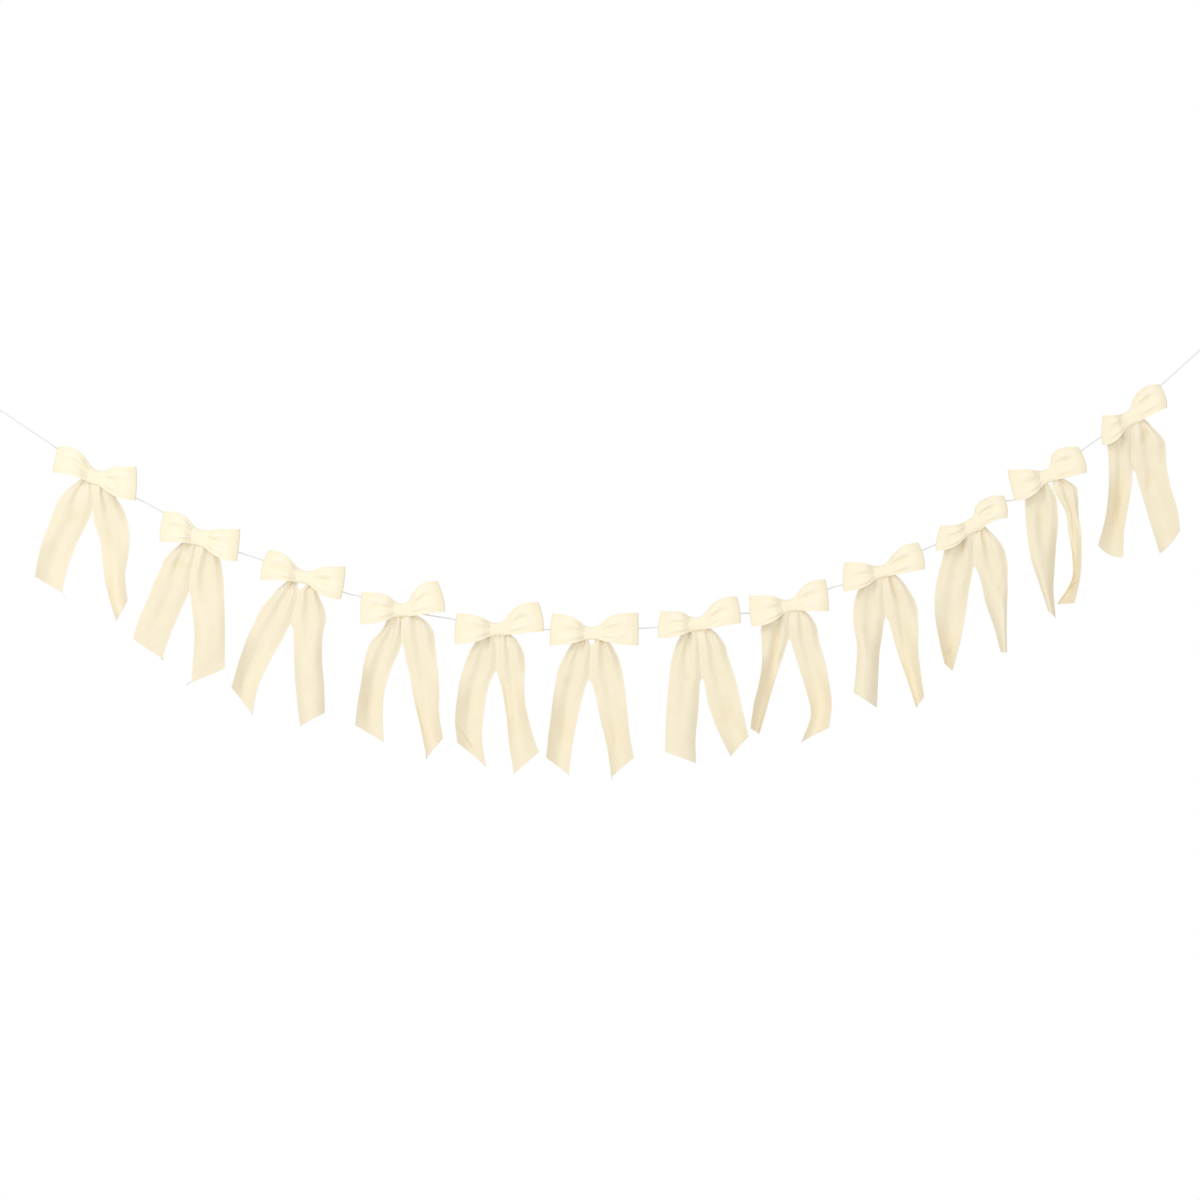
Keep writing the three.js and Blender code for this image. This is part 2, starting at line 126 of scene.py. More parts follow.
def bell(distance: float, width: float) -> float:
    """Returns the height of a soft bump at a distance from its middle line."""
    return math.exp(-((distance / width) ** 2))


def cubic(t: float) -> tuple[float, float, float, float]:
    """Returns the weights of a span's start, end, speed at its start and speed at its end."""
    return 2 * t**3 - 3 * t**2 + 1, 3 * t**2 - 2 * t**3, t**3 - 2 * t**2 + t, t**3 - t**2


@dataclass(frozen=True)
class Track:
    """A smooth run of values through stations that need not be evenly spaced."""

    places: Sequence[float]
    values: Sequence[Any]

    def slope(self, i: int) -> Any:
        """Works out how fast the curve changes at a station.

        Args:
            i: the station's number.

        Returns:
            The mean of the rates on both sides of it, or at an end the one rate there is.
        """
        last = len(self.places) - 1
        rates = [
            (self.values[k + 1] - self.values[k]) / (self.places[k + 1] - self.places[k])
            for k in range(max(i - 1, 0), min(i + 1, last))
        ]
        if len(rates) == 1:
            return rates[0]
        before = self.places[i] - self.places[i - 1]
        after = self.places[i + 1] - self.places[i]
        return (rates[0] * after + rates[1] * before) / (before + after)

    def at(self, place: float) -> Any:
        """Works out the value at a place.

        Args:
            place: a place between the first and last stations.

        Returns:
            The value there, on the smooth curve through the stations.
        """
        last = len(self.places) - 1
        k = next((i for i in range(1, last) if self.places[i] > place), last) - 1
        span = self.places[k + 1] - self.places[k]
        first, final, leave, arrive = cubic((place - self.places[k]) / span)
        bend = self.values[k] * first + self.values[k + 1] * final
        return bend + self.slope(k) * (span * leave) + self.slope(k + 1) * (span * arrive)


# ------------------------------------------------------------------------------- lines


def distances_along(points: Sequence[Vector]) -> list[float]:
    """Returns how far along a line each of its points is."""
    steps = ((after - before).length for before, after in pairwise(points))
    return list(accumulate(steps, initial=0.0))


def through(points: Sequence[Vector], tension: float, steps: int = 24) -> list[Vector]:
    """Draws a smooth line through points.

    Args:
        points: what it goes through.
        tension: how much it rounds its corners; 0.5 is the usual spline.
        steps: how many points it has to a span.

    Returns:
        The line's points.
    """
    beyond = points[-1] * 2 - points[-2]
    padded = [points[0] * 2 - points[1], *points, beyond]
    line = []
    for before, start, end, after in zip(padded, padded[1:], padded[2:], padded[3:]):
        away, towards = (end - before) * tension, (after - start) * tension
        for i in range(steps):
            first, final, leave, arrive = cubic(i / steps)
            line.append(start * first + end * final + away * leave + towards * arrive)
    return [*line, points[-1].copy()]


def evenly(points: Sequence[Vector], spacing: float) -> list[Vector]:
    """Spaces points evenly along a line.

    Args:
        points: the line's own points.
        spacing: about how far apart the new points are.

    Returns:
        The new points, from the line's first point to its last.
    """
    distances = distances_along(points)
    count = max(2, round(distances[-1] / spacing))
    spaced = []
    k = 0
    for i in range(count + 1):
        target = distances[-1] * i / count
        while k < len(points) - 2 and distances[k + 1] < target:
            k += 1
        share = (target - distances[k]) / (distances[k + 1] - distances[k])
        spaced.append(lerp(points[k], points[k + 1], clamp(share)))
    return spaced


# ------------------------------------------------------------------------------ meshes


def new_object(
    name: str,
    bm: bmesh.types.BMesh,
    materials: Sequence[bpy.types.Material],
    slot: Slot | None = None,
) -> bpy.types.Object:
    """Makes an object of a bmesh, frees the bmesh and reports the piece.

    Args:
        name: the object's name.
        bm: the shape, in metres in the part's frame.
        materials: its materials, in the order of the faces' material numbers.
        slot: the record's slot that a piece of the garland takes its finish from.

    Returns:
        The new object, linked to the scene, and tied to the frame if it has a slot.
    """
    mesh = bpy.data.meshes.new(name)
    bm.to_mesh(mesh)
    bm.free()
    for material in materials:
        mesh.materials.append(material)
    piece = bpy.data.objects.new(name, mesh)
    bpy.context.scene.collection.objects.link(piece)
    if slot is not None:
        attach(piece, "root")
    log.info("%s: %d faces", name, len(mesh.polygons))
    return piece


def add_part(bm: bmesh.types.BMesh, part: bmesh.types.BMesh) -> None:
    """Adds one bmesh to another and frees it.

    Args:
        bm: the bmesh that's added to.
        part: the bmesh that's added.
    """
    mesh = bpy.data.meshes.new("part")
    part.to_mesh(mesh)
    part.free()
    bm.from_mesh(mesh)
    bpy.data.meshes.remove(mesh)


def shaped_grid(
    columns: int, rows: int, shape: Shape, flat: tuple[float, float], tone: PaintedShade | None = None
) -> bmesh.types.BMesh:
    """Makes a grid and moves each of its vertices to its place on a shape.

    Args:
        columns: how many cells it has along.
        rows: how many cells it has across.
        shape: gives the point in millimetres at a share along, from 0 to 1, and a place
            across, from -1 to 1.
        flat: its length along and width across before it was shaped, in millimetres.
        tone: gives the painted shade at the same two places, kept in its "fold" attribute.

    Returns:
        The bmesh, smooth, with doubled vertices merged and a UV map in metres.
    """
    bm = bmesh.new()
    uv = bm.loops.layers.uv.new("UVMap")
    # The "fold" attribute holds the painted shade: darker in folds, lighter on ridges
    fold = bm.verts.layers.float.new("fold")
    bmesh.ops.create_grid(bm, x_segments=columns, y_segments=rows, size=1.0)
    for face in bm.faces:
        face.smooth = True
        for corner in face.loops:
            along, across = (corner.vert.co.x + 1) / 2, (corner.vert.co.y + 1) / 2
            corner[uv].uv = (along * flat[0] * MM, across * flat[1] * MM)
    for vertex in bm.verts:
        along, across = (vertex.co.x + 1) / 2, vertex.co.y
        vertex.co = shape(along, across) * MM
        if tone is not None:
            vertex[fold] = tone(along, across)
    bmesh.ops.remove_doubles(bm, verts=bm.verts[:], dist=SAME_PLACE)
    return bm


def run_length(shape: Shape, steps: int = 200) -> float:
    """Measures a shaped ribbon.

    Args:
        shape: gives the point at a share along and a place across.
        steps: how many steps it is measured in.

    Returns:
        The mean length of three lines along it, in millimetres.
    """
    lines = ([shape(i / steps, across) for i in range(steps + 1)] for across in MEASURED_AT)
    return sum(distances_along(line)[-1] for line in lines) / len(MEASURED_AT)


def thicken(bm: bmesh.types.BMesh, thickness: float) -> None:
    """Turns a surface into cloth, half of its thickness on each side of the surface.

    Args:
        bm: the surface; the faces that look to the room where it is nearest the room, and those
            that go on from them, become material 0, and the new faces behind them material 1.
        thickness: the cloth's thickness in millimetres.
    """
    bmesh.ops.recalc_face_normals(bm, faces=bm.faces[:])
    wall = max(vertex.co.y for vertex in bm.verts)
    looks = sum(f.normal.y * f.calc_area() * (wall - f.calc_center_median().y) for f in bm.faces)
    if looks > 0:
        bmesh.ops.reverse_faces(bm, faces=bm.faces[:])
    bm.normal_update()
    normals = {}
    for vertex, normal in [(vertex, vertex.normal.copy()) for vertex in bm.verts]:
        vertex.co += normal * (thickness * MM / 2)
        normals[tuple(vertex.co)] = normal
    front = set(bm.faces)
    surface = [*bm.faces, *bm.edges, *bm.verts]
    copied = bmesh.ops.extrude_face_region(bm, geom=surface, use_keep_orig=True)["geom"]
    back = {face for face in copied if isinstance(face, bmesh.types.BMFace)}
    for vertex in copied:
        if isinstance(vertex, bmesh.types.BMVert):
            vertex.co -= normals[tuple(vertex.co)] * (thickness * MM)
    bmesh.ops.recalc_face_normals(bm, faces=bm.faces[:])
    for face in bm.faces:
        face.smooth = True
        face.material_index = 1 if face in back else 0
    for edge in bm.edges:
        rims = [face for face in edge.link_faces if face not in front and face not in back]
        if len(rims) == 1:
            edge.smooth = False


def tube(
    centres: Sequence[Vector], sides: int, radius: Callable[[float, float], float]
) -> bmesh.types.BMesh:
    """Makes a closed tube along a line.

    An angle of 0 round it points square to the line and to the Y axis, or to the X axis where
    the line runs nearly along Y.

    Args:
        centres: the centres of its rings, in millimetres.
        sides: how many vertices a ring has.
        radius: gives the radius at a distance along and an angle round, in millimetres.

    Returns:
        The bmesh, with capped ends.
    """
    last = len(centres) - 1
    distances = distances_along(centres)
    least_up = 0.2

    def place(along: float, across: float) -> Vector:
        """Finds a point of the tube.

        Args:
            along: share of the way along it, at one of its rings.
            across: place round the ring, from -1 to 1.

        Returns:
            The point, in millimetres.
        """
        i = round(along * last)
        ahead = (centres[min(i + 1, last)] - centres[max(i - 1, 0)]).normalized()
        up = ahead.cross(Vector((0, 1, 0)))
        if up.length <= least_up:
            up = ahead.cross(Vector((1, 0, 0)))
        up.normalize()
        front = up.cross(ahead)
        angle = across * math.pi
        reach = radius(distances[i], angle)
        return centres[i] + (up * math.cos(angle) + front * math.sin(angle)) * reach

    bm = shaped_grid(last, sides, place, (distances[-1], CORD_DIAMETER * math.pi))
    ends = [edge for edge in bm.edges if edge.is_boundary]
    bmesh.ops.holes_fill(bm, edges=ends, sides=0)
    bmesh.ops.recalc_face_normals(bm, faces=bm.faces[:])
    return bm


# --------------------------------------------------------------------------- materials


def srgb(code: str) -> tuple[float, float, float, float]:
    """Turns a colour code into a shader's colour.

    Args:
        code: the six hexadecimal digits of an sRGB colour.

    Returns:
        Its linear red, green and blue, and an alpha of 1.
    """
    parts = [int(code[i : i + 2], 16) / 255 for i in (0, 2, 4)]
    linear = [c / 12.92 if c <= 0.04045 else ((c + 0.055) / 1.055) ** 2.4 for c in parts]
    return (*linear, 1.0)


class Graph:
    """The node tree of a material or a world."""

    def __init__(self, owner: bpy.types.Material | bpy.types.World) -> None:
        """Gives a material or world an empty tree.

        Args:
            owner: the material or world.
        """
        owner.use_nodes = True
        self.tree = owner.node_tree
        self.tree.nodes.clear()

    def node(
        self, kind: str, settings: dict[str, Any], inputs: dict[str | int, Any]
    ) -> bpy.types.Node:
        """Adds a node.

        Args:
            kind: the node's type.
            settings: its own settings, set before its sockets.
            inputs: a number, colour, socket or Value for each socket that's set.

        Returns:
            The new node.
        """
        made = self.tree.nodes.new(kind)
        for name, value in settings.items():
            setattr(made, name, value)
        for name, value in inputs.items():
            source = value.socket if isinstance(value, Value) else value
            if isinstance(source, bpy.types.NodeSocket):
                self.tree.links.new(source, made.inputs[name])
            else:
                made.inputs[name].default_value = source
        return made

    def value(
        self, kind: str, settings: dict[str, Any], inputs: dict[str | int, Any], output: str
    ) -> "Value":
        """Adds a node and returns one of its outputs as a Value."""
        return Value(self, self.node(kind, settings, inputs).outputs[output])

    def mix(self, factor: Any, low: Any, high: Any) -> bpy.types.NodeSocket:
        """Returns the colour between two others."""
        inputs = {0: factor, 6: low, 7: high}
        return self.node("ShaderNodeMix", {"data_type": "RGBA"}, inputs).outputs[2]

    def noise(self, where: bpy.types.NodeSocket, scale: float, detail: float = 2.0) -> "Value":
        """Returns a noise that runs from 0 to 1, with scale patches to a metre."""
        inputs = {"Vector": where, "Scale": scale, "Detail": detail}
        return self.value("ShaderNodeTexNoise", {}, inputs, "Fac")

    def bump(self, height: Any, strength: float, distance: float) -> bpy.types.NodeSocket:
        """Returns the normal of a surface with bumps up to a distance in metres high."""
        inputs = {"Strength": strength, "Distance": distance, "Height": height}
        return self.node("ShaderNodeBump", {}, inputs).outputs["Normal"]


@dataclass(frozen=True)
class Value:
    """A number in a shader, whose arithmetic adds math nodes."""

    graph: Graph
    socket: bpy.types.NodeSocket

    def maths(self, operation: str, *terms: Any) -> "Value":
        """Returns the outcome of a math node on the terms."""
        inputs = dict(enumerate(terms))
        return self.graph.value("ShaderNodeMath", {"operation": operation}, inputs, "Value")

    def __add__(self, other: Any) -> "Value":
        """Returns self + other."""
        return self.maths("ADD", self, other)

    def __radd__(self, other: Any) -> "Value":
        """Returns other + self."""
        return self.maths("ADD", other, self)

    def __sub__(self, other: Any) -> "Value":
        """Returns self - other."""
        return self.maths("SUBTRACT", self, other)

    def __rsub__(self, other: Any) -> "Value":
        """Returns other - self."""
        return self.maths("SUBTRACT", other, self)

    def __mul__(self, other: Any) -> "Value":
        """Returns self * other."""
        return self.maths("MULTIPLY", self, other)

    def __rmul__(self, other: Any) -> "Value":
        """Returns other * self."""
        return self.maths("MULTIPLY", other, self)

    def __truediv__(self, other: Any) -> "Value":
        """Returns self / other."""
        return self.maths("DIVIDE", self, other)

    def __rtruediv__(self, other: Any) -> "Value":
        """Returns other / self."""
        return self.maths("DIVIDE", other, self)

    def sine(self) -> "Value":
        """Returns the sine of self."""
        return self.maths("SINE", self)

    def least(self, other: Any) -> "Value":
        """Returns the lesser of self and other."""
        return self.maths("MINIMUM", self, other)

    def most(self, other: Any) -> "Value":
        """Returns the greater of self and other."""
        return self.maths("MAXIMUM", self, other)

    def held(self) -> "Value":
        """Returns self, held between 0 and 1."""
        return self.most(0.0).least(1.0)


@dataclass(frozen=True)
class Finish:
    """A material with one principled shader. On its own it is a plain colour."""

    name: str
    light: str
    roughness: float

    def inputs(self, graph: Graph) -> dict[str, Any]:
        """Returns the shader's inputs."""
        return {"Base Color": srgb(self.light), "Roughness": self.roughness}

    def make(self) -> bpy.types.Material:
        """Makes the material.

        Returns:
            The new material.
        """
        material = bpy.data.materials.new(self.name)
        graph = Graph(material)
        shader = graph.node("ShaderNodeBsdfPrincipled", {}, self.inputs(graph))
        graph.node("ShaderNodeOutputMaterial", {}, {"Surface": shader.outputs["BSDF"]})
        return material


@dataclass(frozen=True)
class Velvet(Finish):
    """The pile side of the ribbon: a soft short pile between two narrow woven selvedges.

    It needs the mesh's UV map in metres and its "fold" attribute, which holds the painted shade.
    """

    dark: str
    selvedge: str

    # The patches of each noise to a metre
    mottle: float = 38.0
    brushed: float = 210.0
    pile: float = 2600.0
    # How much each thing darkens the pile: an even part, the painted shade of the "fold" attribute,
    # and the random tone of the noises
    even_shade: float = 0.35
    fold_shade: float = 0.55
    mottle_shade: float = 0.25
    brushed_shade: float = 0.35
    pile_shade: float = 0.5
    # A selvedge's width in metres, and how much of its colour shows
    selvedge_width: float = 0.0013
    selvedge_share: float = 0.6
    sheen: str = "fff6e4"

    def inputs(self, graph: Graph) -> dict[str, Any]:
        """Works out what goes into the shader.

        Args:
            graph: the material's tree.

        Returns:
            The value or socket for each of the shader's inputs that's set.
        """
        coordinates = graph.node("ShaderNodeTexCoord", {}, {})
        here = coordinates.outputs["Object"]
        split = graph.node("ShaderNodeSeparateXYZ", {}, {0: coordinates.outputs["UV"]})
        fold = graph.value("ShaderNodeAttribute", {"attribute_name": "fold"}, {}, "Fac")
        across = Value(graph, split.outputs["Y"])
        edge = 1.0 - (across.least(RIBBON_WIDTH * MM - across) / self.selvedge_width - 0.5).held()
        mottle = graph.noise(here, self.mottle) - 0.5
        brushed = graph.noise(here, self.brushed, 3.0) - 0.5
        pile = graph.noise(here, self.pile, 3.0)
        # Painted shade from the "fold" attribute, plus the pile's own random tone from the noises
        shade = self.even_shade + fold * self.fold_shade + mottle * self.mottle_shade
        shade = shade + brushed * self.brushed_shade + (pile - 0.5) * self.pile_shade
        cloth = graph.mix(shade.held(), srgb(self.light), srgb(self.dark))
        return {
            "Base Color": graph.mix(edge * self.selvedge_share, cloth, srgb(self.selvedge)),
            "Roughness": (self.roughness - edge * 0.25 + brushed * 0.08).held(),
            "Normal": graph.bump(pile * (1.0 - edge), 0.35, 0.0003),
            "Specular IOR Level": 0.25,
            "Sheen Weight": 0.35,
            "Sheen Roughness": 0.45,
            "Sheen Tint": srgb(self.sheen),
        }


@dataclass(frozen=True)
class WovenBack(Finish):
    """The plain woven back of the ribbon, which needs the mesh's UV map in metres."""

    dark: str

    # The width of a thread in metres, and the worn patches to a metre
    thread: float = 0.0005
    worn: float = 60.0

    def inputs(self, graph: Graph) -> dict[str, Any]:
        """Works out what goes into the shader.

        Args:
            graph: the material's tree.

        Returns:
            The value or socket for each of the shader's inputs that's set.
        """
        coordinates = graph.node("ShaderNodeTexCoord", {}, {})
        split = graph.node("ShaderNodeSeparateXYZ", {}, {0: coordinates.outputs["UV"]})
        turn = math.pi / self.thread
        along = (Value(graph, split.outputs["X"]) * turn).sine()
        across = (Value(graph, split.outputs["Y"]) * turn).sine()
        weave = along * across * 0.5 + 0.5
        worn = graph.noise(coordinates.outputs["Object"], self.worn) - 0.5
        raised = (weave * 0.4 + 0.3 + worn * 0.5).held()
        return {
            "Base Color": graph.mix(raised, srgb(self.dark), srgb(self.light)),
            "Roughness": (self.roughness - weave * 0.12).held(),
            "Normal": graph.bump(weave, 0.25, 0.0002),
            "Specular IOR Level": 0.3,
            "Sheen Weight": 0.15,
        }


@dataclass(frozen=True)
class Thread(Finish):
    """Spun thread: the cord's strands, and the grey threads at the long corners of the ribbons' cut
    ends.
    """

    dark: str

    # The fibres and the patches of light and shade to a metre
    fibres: float = 3500.0
    patches: float = 90.0

    def inputs(self, graph: Graph) -> dict[str, Any]:
        """Works out what goes into the shader.

        Args:
            graph: the material's tree.

        Returns:
            The value or socket for each of the shader's inputs that's set.
        """
        here = graph.node("ShaderNodeTexCoord", {}, {}).outputs["Object"]
        fibres = graph.noise(here, self.fibres, 3.0)
        patches = graph.noise(here, self.patches) - 0.5
        lit = (fibres + patches * 0.5).held()
        return {
            "Base Color": graph.mix(lit, srgb(self.dark), srgb(self.light)),
            "Roughness": (self.roughness + (fibres - 0.5) * 0.1).held(),
            "Normal": graph.bump(fibres, 0.3, 0.0001),
            "Sheen Weight": 0.1,
        }


@dataclass(frozen=True)
class Finishes:
    """Every material of the garland, made once."""

    loops: bpy.types.Material
    tails: bpy.types.Material
    back: bpy.types.Material
    cord: bpy.types.Material
    fray: bpy.types.Material

    @staticmethod
    def make() -> "Finishes":
        """Makes the materials.

        Returns:
            The garland's finishes.
        """
        return Finishes(
            # One ribbon in two copies: the loops' velvet painted lighter and the tails' painted
            # darker, for how light falls on them; each velvet's second colour is what its pile
            # darkens to, in painted shade and in its random tone
            loops=Velvet("velvet_loops_painted_light", "fbf4e0", 0.92, "f3e7c8", "faf1db").make(),
            tails=Velvet("velvet_tails_painted_shade", "f4ebd5", 0.92, "e8dab7", "f2ead4").make(),
            back=WovenBack("woven_back", "f6edd6", 0.74, "e7d9b8").make(),
            cord=Thread("twisted_cord", "f3f4f3", 0.45, "cbced2").make(),
            # Grey threads, darker than the ribbon, at the long corners of some tails' cut ends
            fray=Thread("grey_tip_thread", "d2cfc6", 0.6, "a5a199").make(),
        )


# ------------------------------------------------------------------------ ribbon shapes


@dataclass(frozen=True)
class Crease:
    """A soft trough along a straight line of the flat ribbon, or a ridge if depth is negative.

    Each end of the line is given as a share of the way along from the knot, and a place across
    where -1 is the inner or lower edge and 1 the outer or upper one. The trough is deepest at
    a share called peak of its own length, and dies out towards its ends.
    """

    along_from: float
    across_from: float
    along_to: float
    across_to: float
    width: float
    depth: float
    peak: float = 0.0
    widths_reached: float = 3.0

    def relief(self, along: float, across: float, length: float) -> float:
        """Works out how far the crease pushes the cloth back at a place.

        Args:
            along: share of the way along the ribbon from the knot.
            across: place across the ribbon, from -1 to 1.
            length: the length that a share of 1 stands for, in millimetres.

        Returns:
            The depth in millimetres, away from the room.
        """
        half = RIBBON_WIDTH / 2
        run = (self.along_to - self.along_from) * length
        rise = (self.across_to - self.across_from) * half
        ahead = (along - self.along_from) * length
        beside = (across - self.across_from) * half
        share = clamp((ahead * run + beside * rise) / (run * run + rise * rise))
        distance = math.hypot(ahead - run * share, beside - rise * share)
        if distance > self.widths_reached * self.width:
            return 0.0
        near = share / self.peak if self.peak > 0 else 1.0
        far = (1 - share) / (1 - self.peak) if self.peak < 1 else 1.0
        return self.depth * smoothstep(min(near, far)) * bell(distance, self.width)


@dataclass(frozen=True)
class Gathering:
    """A kind of narrow troughs that start side by side at a knot and fan out from it."""

    start: float
    fan: float
    width: float
    depth: float
    peak: float = 0.0
    shorter: float = 0.85
    longer: float = 0.3

    def troughs(self, reach: float, *places: float) -> tuple[Crease, ...]:
        """Makes the troughs.

        Args:
            reach: how far along the ribbon they die out.
            places: where each starts across the ribbon.

        Returns:
            The troughs, by turns a little shorter and a little longer than the reach.
        """
        return tuple(
            Crease(
                self.start, v, reach * (self.shorter + self.longer * (i % 2)), v * self.fan,
                self.width, self.depth, self.peak,
            )
            for i, v in enumerate(places)
        )


pleats = Gathering(0.0, 1.08, 2.8, 3.2).troughs
gathers = Gathering(0.02, 1.05, 3.0, 2.1, 0.3).troughs


@dataclass(frozen=True)
class Waist:
    """The gathered middle of a bow: its lean, and how much further up than down it reaches."""

    lean: float
    lift: float = 0.0

    def along(self) -> Vector:
        """Returns the way along the waist, as (x, z)."""
        return Vector((math.cos(self.lean), math.sin(self.lean)))

    def edges(self, out: float, half_height: float) -> tuple[Vector, Vector]:
        """Finds the lower and upper edge of a layer in the waist.

        Args:
            out: how far out from the middle, negative on the left.
            half_height: how far the lower edge is from the middle line.

        Returns:
            The lower and upper edge, as (x, z).
        """
        middle = self.along() * out
        up = Vector((-math.sin(self.lean), math.cos(self.lean)))
        return middle - up * half_height, middle + up * (half_height + self.lift)


@dataclass(frozen=True)
class Loop:
    """One loop: the ends of its outer fold, out and up from the knot, and its creases.

    The flares are how fast its upper and lower edges part next to the knot, puff is how far its
    upper edge puffs back over the knot, and crown how far its outer fold is rounded out.
    """

    top_out: float
    top_rise: float
    bottom_out: float
    bottom_rise: float
    flare: float
    lower_flare: float
    puff: float
    crown: float
    creases: tuple[Crease, ...]

    # The ribbon's half height in the middle of the knot and where it comes out of it
    in_waist: float = 6.6
    at_exit: float = 7.8
    # The depths of the front and back layer in the knot, and how far forward the back one comes
    front_layer: float = -4.3
    back_layer: float = -1.1
    forward: float = 5.5
    forward_by: float = 0.3
    # How far the layers open at their fullest, and at the outer fold
    full: float = 11.0
    fold: float = 7.0
    bulge_skew: float = 0.8
    fold_opens: tuple[float, float] = (0.5, 0.9)
    # The shares of the way round at which it leaves the knot, meets and leaves the outer fold,
    # and meets the knot's back
    leaves: float = 0.066
    folds: float = 0.457
    folded: float = 0.543
    meets: float = 0.934
    # The shares of the way out where the fold, the puff and the crown begin or end
    fold_from: float = 0.94
    puff_full_by: float = 0.12
    puff_gone: float = 0.45
    crown_from: float = 0.4
    # The trough along its middle, the creases' start, and the front layer's deepest share
    trough: float = 3.0
    trough_full_by: float = 0.25
    trough_fades: tuple[float, float] = (0.3, 0.9)
    creased_by: float = 0.08
    deepest: float = 0.36
    behind: float = -1.5
    # The folds that are crushed together in the knot
    crushed: float = 1.3
    crushes: int = 6
    # The painted shade: a crease of this depth is painted fully in shade and a ridge painted
    # lighter, and the outer fold and edges are painted with some shade
    shaded_depth: float = 12.0
    lit: float = -0.5
    shaded_by: float = 0.1
    fold_shade: float = 0.6
    edge_shade: float = 0.4
    shaded_from: float = 0.6

    def edges(self, waist: Waist, side: int, t: float) -> tuple[Vector, Vector]:
        """Finds the two edges of the loop in the front view.

        Args:
            waist: the waist that it starts at.
            side: -1 for a left loop and 1 for a right one.
            t: share of the way from the knot to the outer fold.

        Returns:
            The lower and the upper edge, as (x, z).
        """
        lower, upper = waist.edges(side * EXIT, self.at_exit)
        puff = smoothstep(t / self.puff_full_by)
        puff *= self.puff * (1 - smoothstep(t, self.puff_full_by, self.puff_gone))
        low = lerp(lower, Vector((side * self.bottom_out, lower.y)), t)
        low.y = lerp(lower.y, self.bottom_rise, 1 - (1 - t) ** self.lower_flare)
        high = lerp(upper, Vector((side * self.top_out, upper.y)), t)
        high.x -= side * puff
        high.y = lerp(upper.y, self.top_rise, 1 - (1 - t) ** self.flare)
        return low, high

    def back(self, t: float) -> float:
        """Returns the depth of the loop's back layer."""
        return self.back_layer - self.forward * smoothstep(t / self.forward_by)

    def opening(self, t: float) -> float:
        """Works out how far the front layer stands off the back one.

        Args:
            t: share of the way from the knot to the outer fold.

        Returns:
            The distance between the layers, in millimetres.
        """
        at_knot = self.back_layer - self.front_layer
        bulge = math.sin(math.pi * t**self.bulge_skew)
        fold = smoothstep(t, *self.fold_opens)
        return at_knot + (self.full - at_knot) * bulge + (self.fold - at_knot) * fold

    def relief(self, t: float, v: float) -> float:
        """Works out how far the front layer's own folds push it back.

        Args:
            t: share of the way from the knot to the outer fold.
            v: place across, from -1 to 1.

        Returns:
            The depth in millimetres, away from the room, held well short of the back layer.
        """
        fade = 1 - smoothstep(t, *self.trough_fades)
        trough = self.trough * smoothstep(t / self.trough_full_by) * fade
        length = (self.top_out + self.bottom_out) / 2 - EXIT
        placed = sum(crease.relief(t, v, length) for crease in self.creases)
        placed *= smoothstep(t, 0.0, self.creased_by)
        relief = trough * math.cos(2 * math.pi * v) * (1 - v * v) + placed
        return min(relief, self.deepest * self.opening(t))

    def point(self, waist: Waist, side: int, way: float, v: float) -> Vector:
        """Finds a point of the loop's band.

        Args:
            waist: the waist that it starts at.
            side: -1 for a left loop and 1 for a right one.
            way: share of the way round the loop, from the middle of the knot's front to the
                middle of its back.
            v: place across, from -1 to 1.

        Returns:
            The point from the knot's middle, in millimetres.
        """
        if way < self.leaves or way > self.meets:
            share = (way if way < self.leaves else 1 - way) / self.leaves
            half_height = lerp(self.in_waist, self.at_exit, share**6)
            lower, upper = waist.edges(side * EXIT * share, half_height)
            depth = self.front_layer if way < self.leaves else self.back_layer
            depth += self.crushed * math.sin(math.pi * self.crushes * v) * (1 - share**4)
            return self.between(lower, upper, depth, v)
        if way < self.folds:
            t = self.fold_from * (way - self.leaves) / (self.folds - self.leaves)
            depth = self.back(t) - self.opening(t) + self.relief(t, v)
        elif way > self.folded:
            t = self.fold_from * (self.meets - way) / (self.meets - self.folded)
            depth = self.back(t) + self.behind * self.relief(t, v)
        else:
            angle = math.pi * (way - self.folds) / (self.folded - self.folds)
            t = self.fold_from + (1 - self.fold_from) * math.sin(angle)
            near = self.back(self.fold_from) - self.opening(self.fold_from)
            depth = lerp(near, self.back(self.fold_from), (1 - math.cos(angle)) / 2)
            depth += self.relief(self.fold_from, v) * clamp(math.cos(angle))
            depth += self.behind * self.relief(self.fold_from, v) * clamp(-math.cos(angle))
        point = self.between(*self.edges(waist, side, t), depth, v)
        point.x += side * self.crown * smoothstep(t, self.crown_from, 1.0) * (1 - v * v)
        return point

    @staticmethod
    def between(lower: Vector, upper: Vector, depth: float, v: float) -> Vector:
        """Returns the point between two edges at a place across and a depth."""
        flat = lerp(lower, upper, (v + 1) / 2)
        return Vector((flat.x, depth, flat.y))

    def tone(self, way: float, v: float) -> float:
        """Works out how much shade is painted on a point of the band: darker in its creases,
        towards its outer fold and along its edges, lighter on its ridges.

        Args:
            way: share of the way round the loop, as for its point.
            v: place across, from -1 to 1.

        Returns:
            The painted shade, where 0 is open cloth, 1 the shade deep in a fold, and below 0
            painted light.
        """
        share = clamp((way - self.leaves) / (self.folds - self.leaves))
        # Painted shade in creases and painted light on ridges, then painted shade towards the outer
        # fold and along the edges
        folded = clamp(self.relief(share, v) / self.shaded_depth, self.lit)
        folded *= smoothstep(share, 0, self.shaded_by)
        fold = self.fold_shade * smoothstep(share, self.shaded_from, 1.0)
        return folded + fold + self.edge_shade * abs(v) ** 4


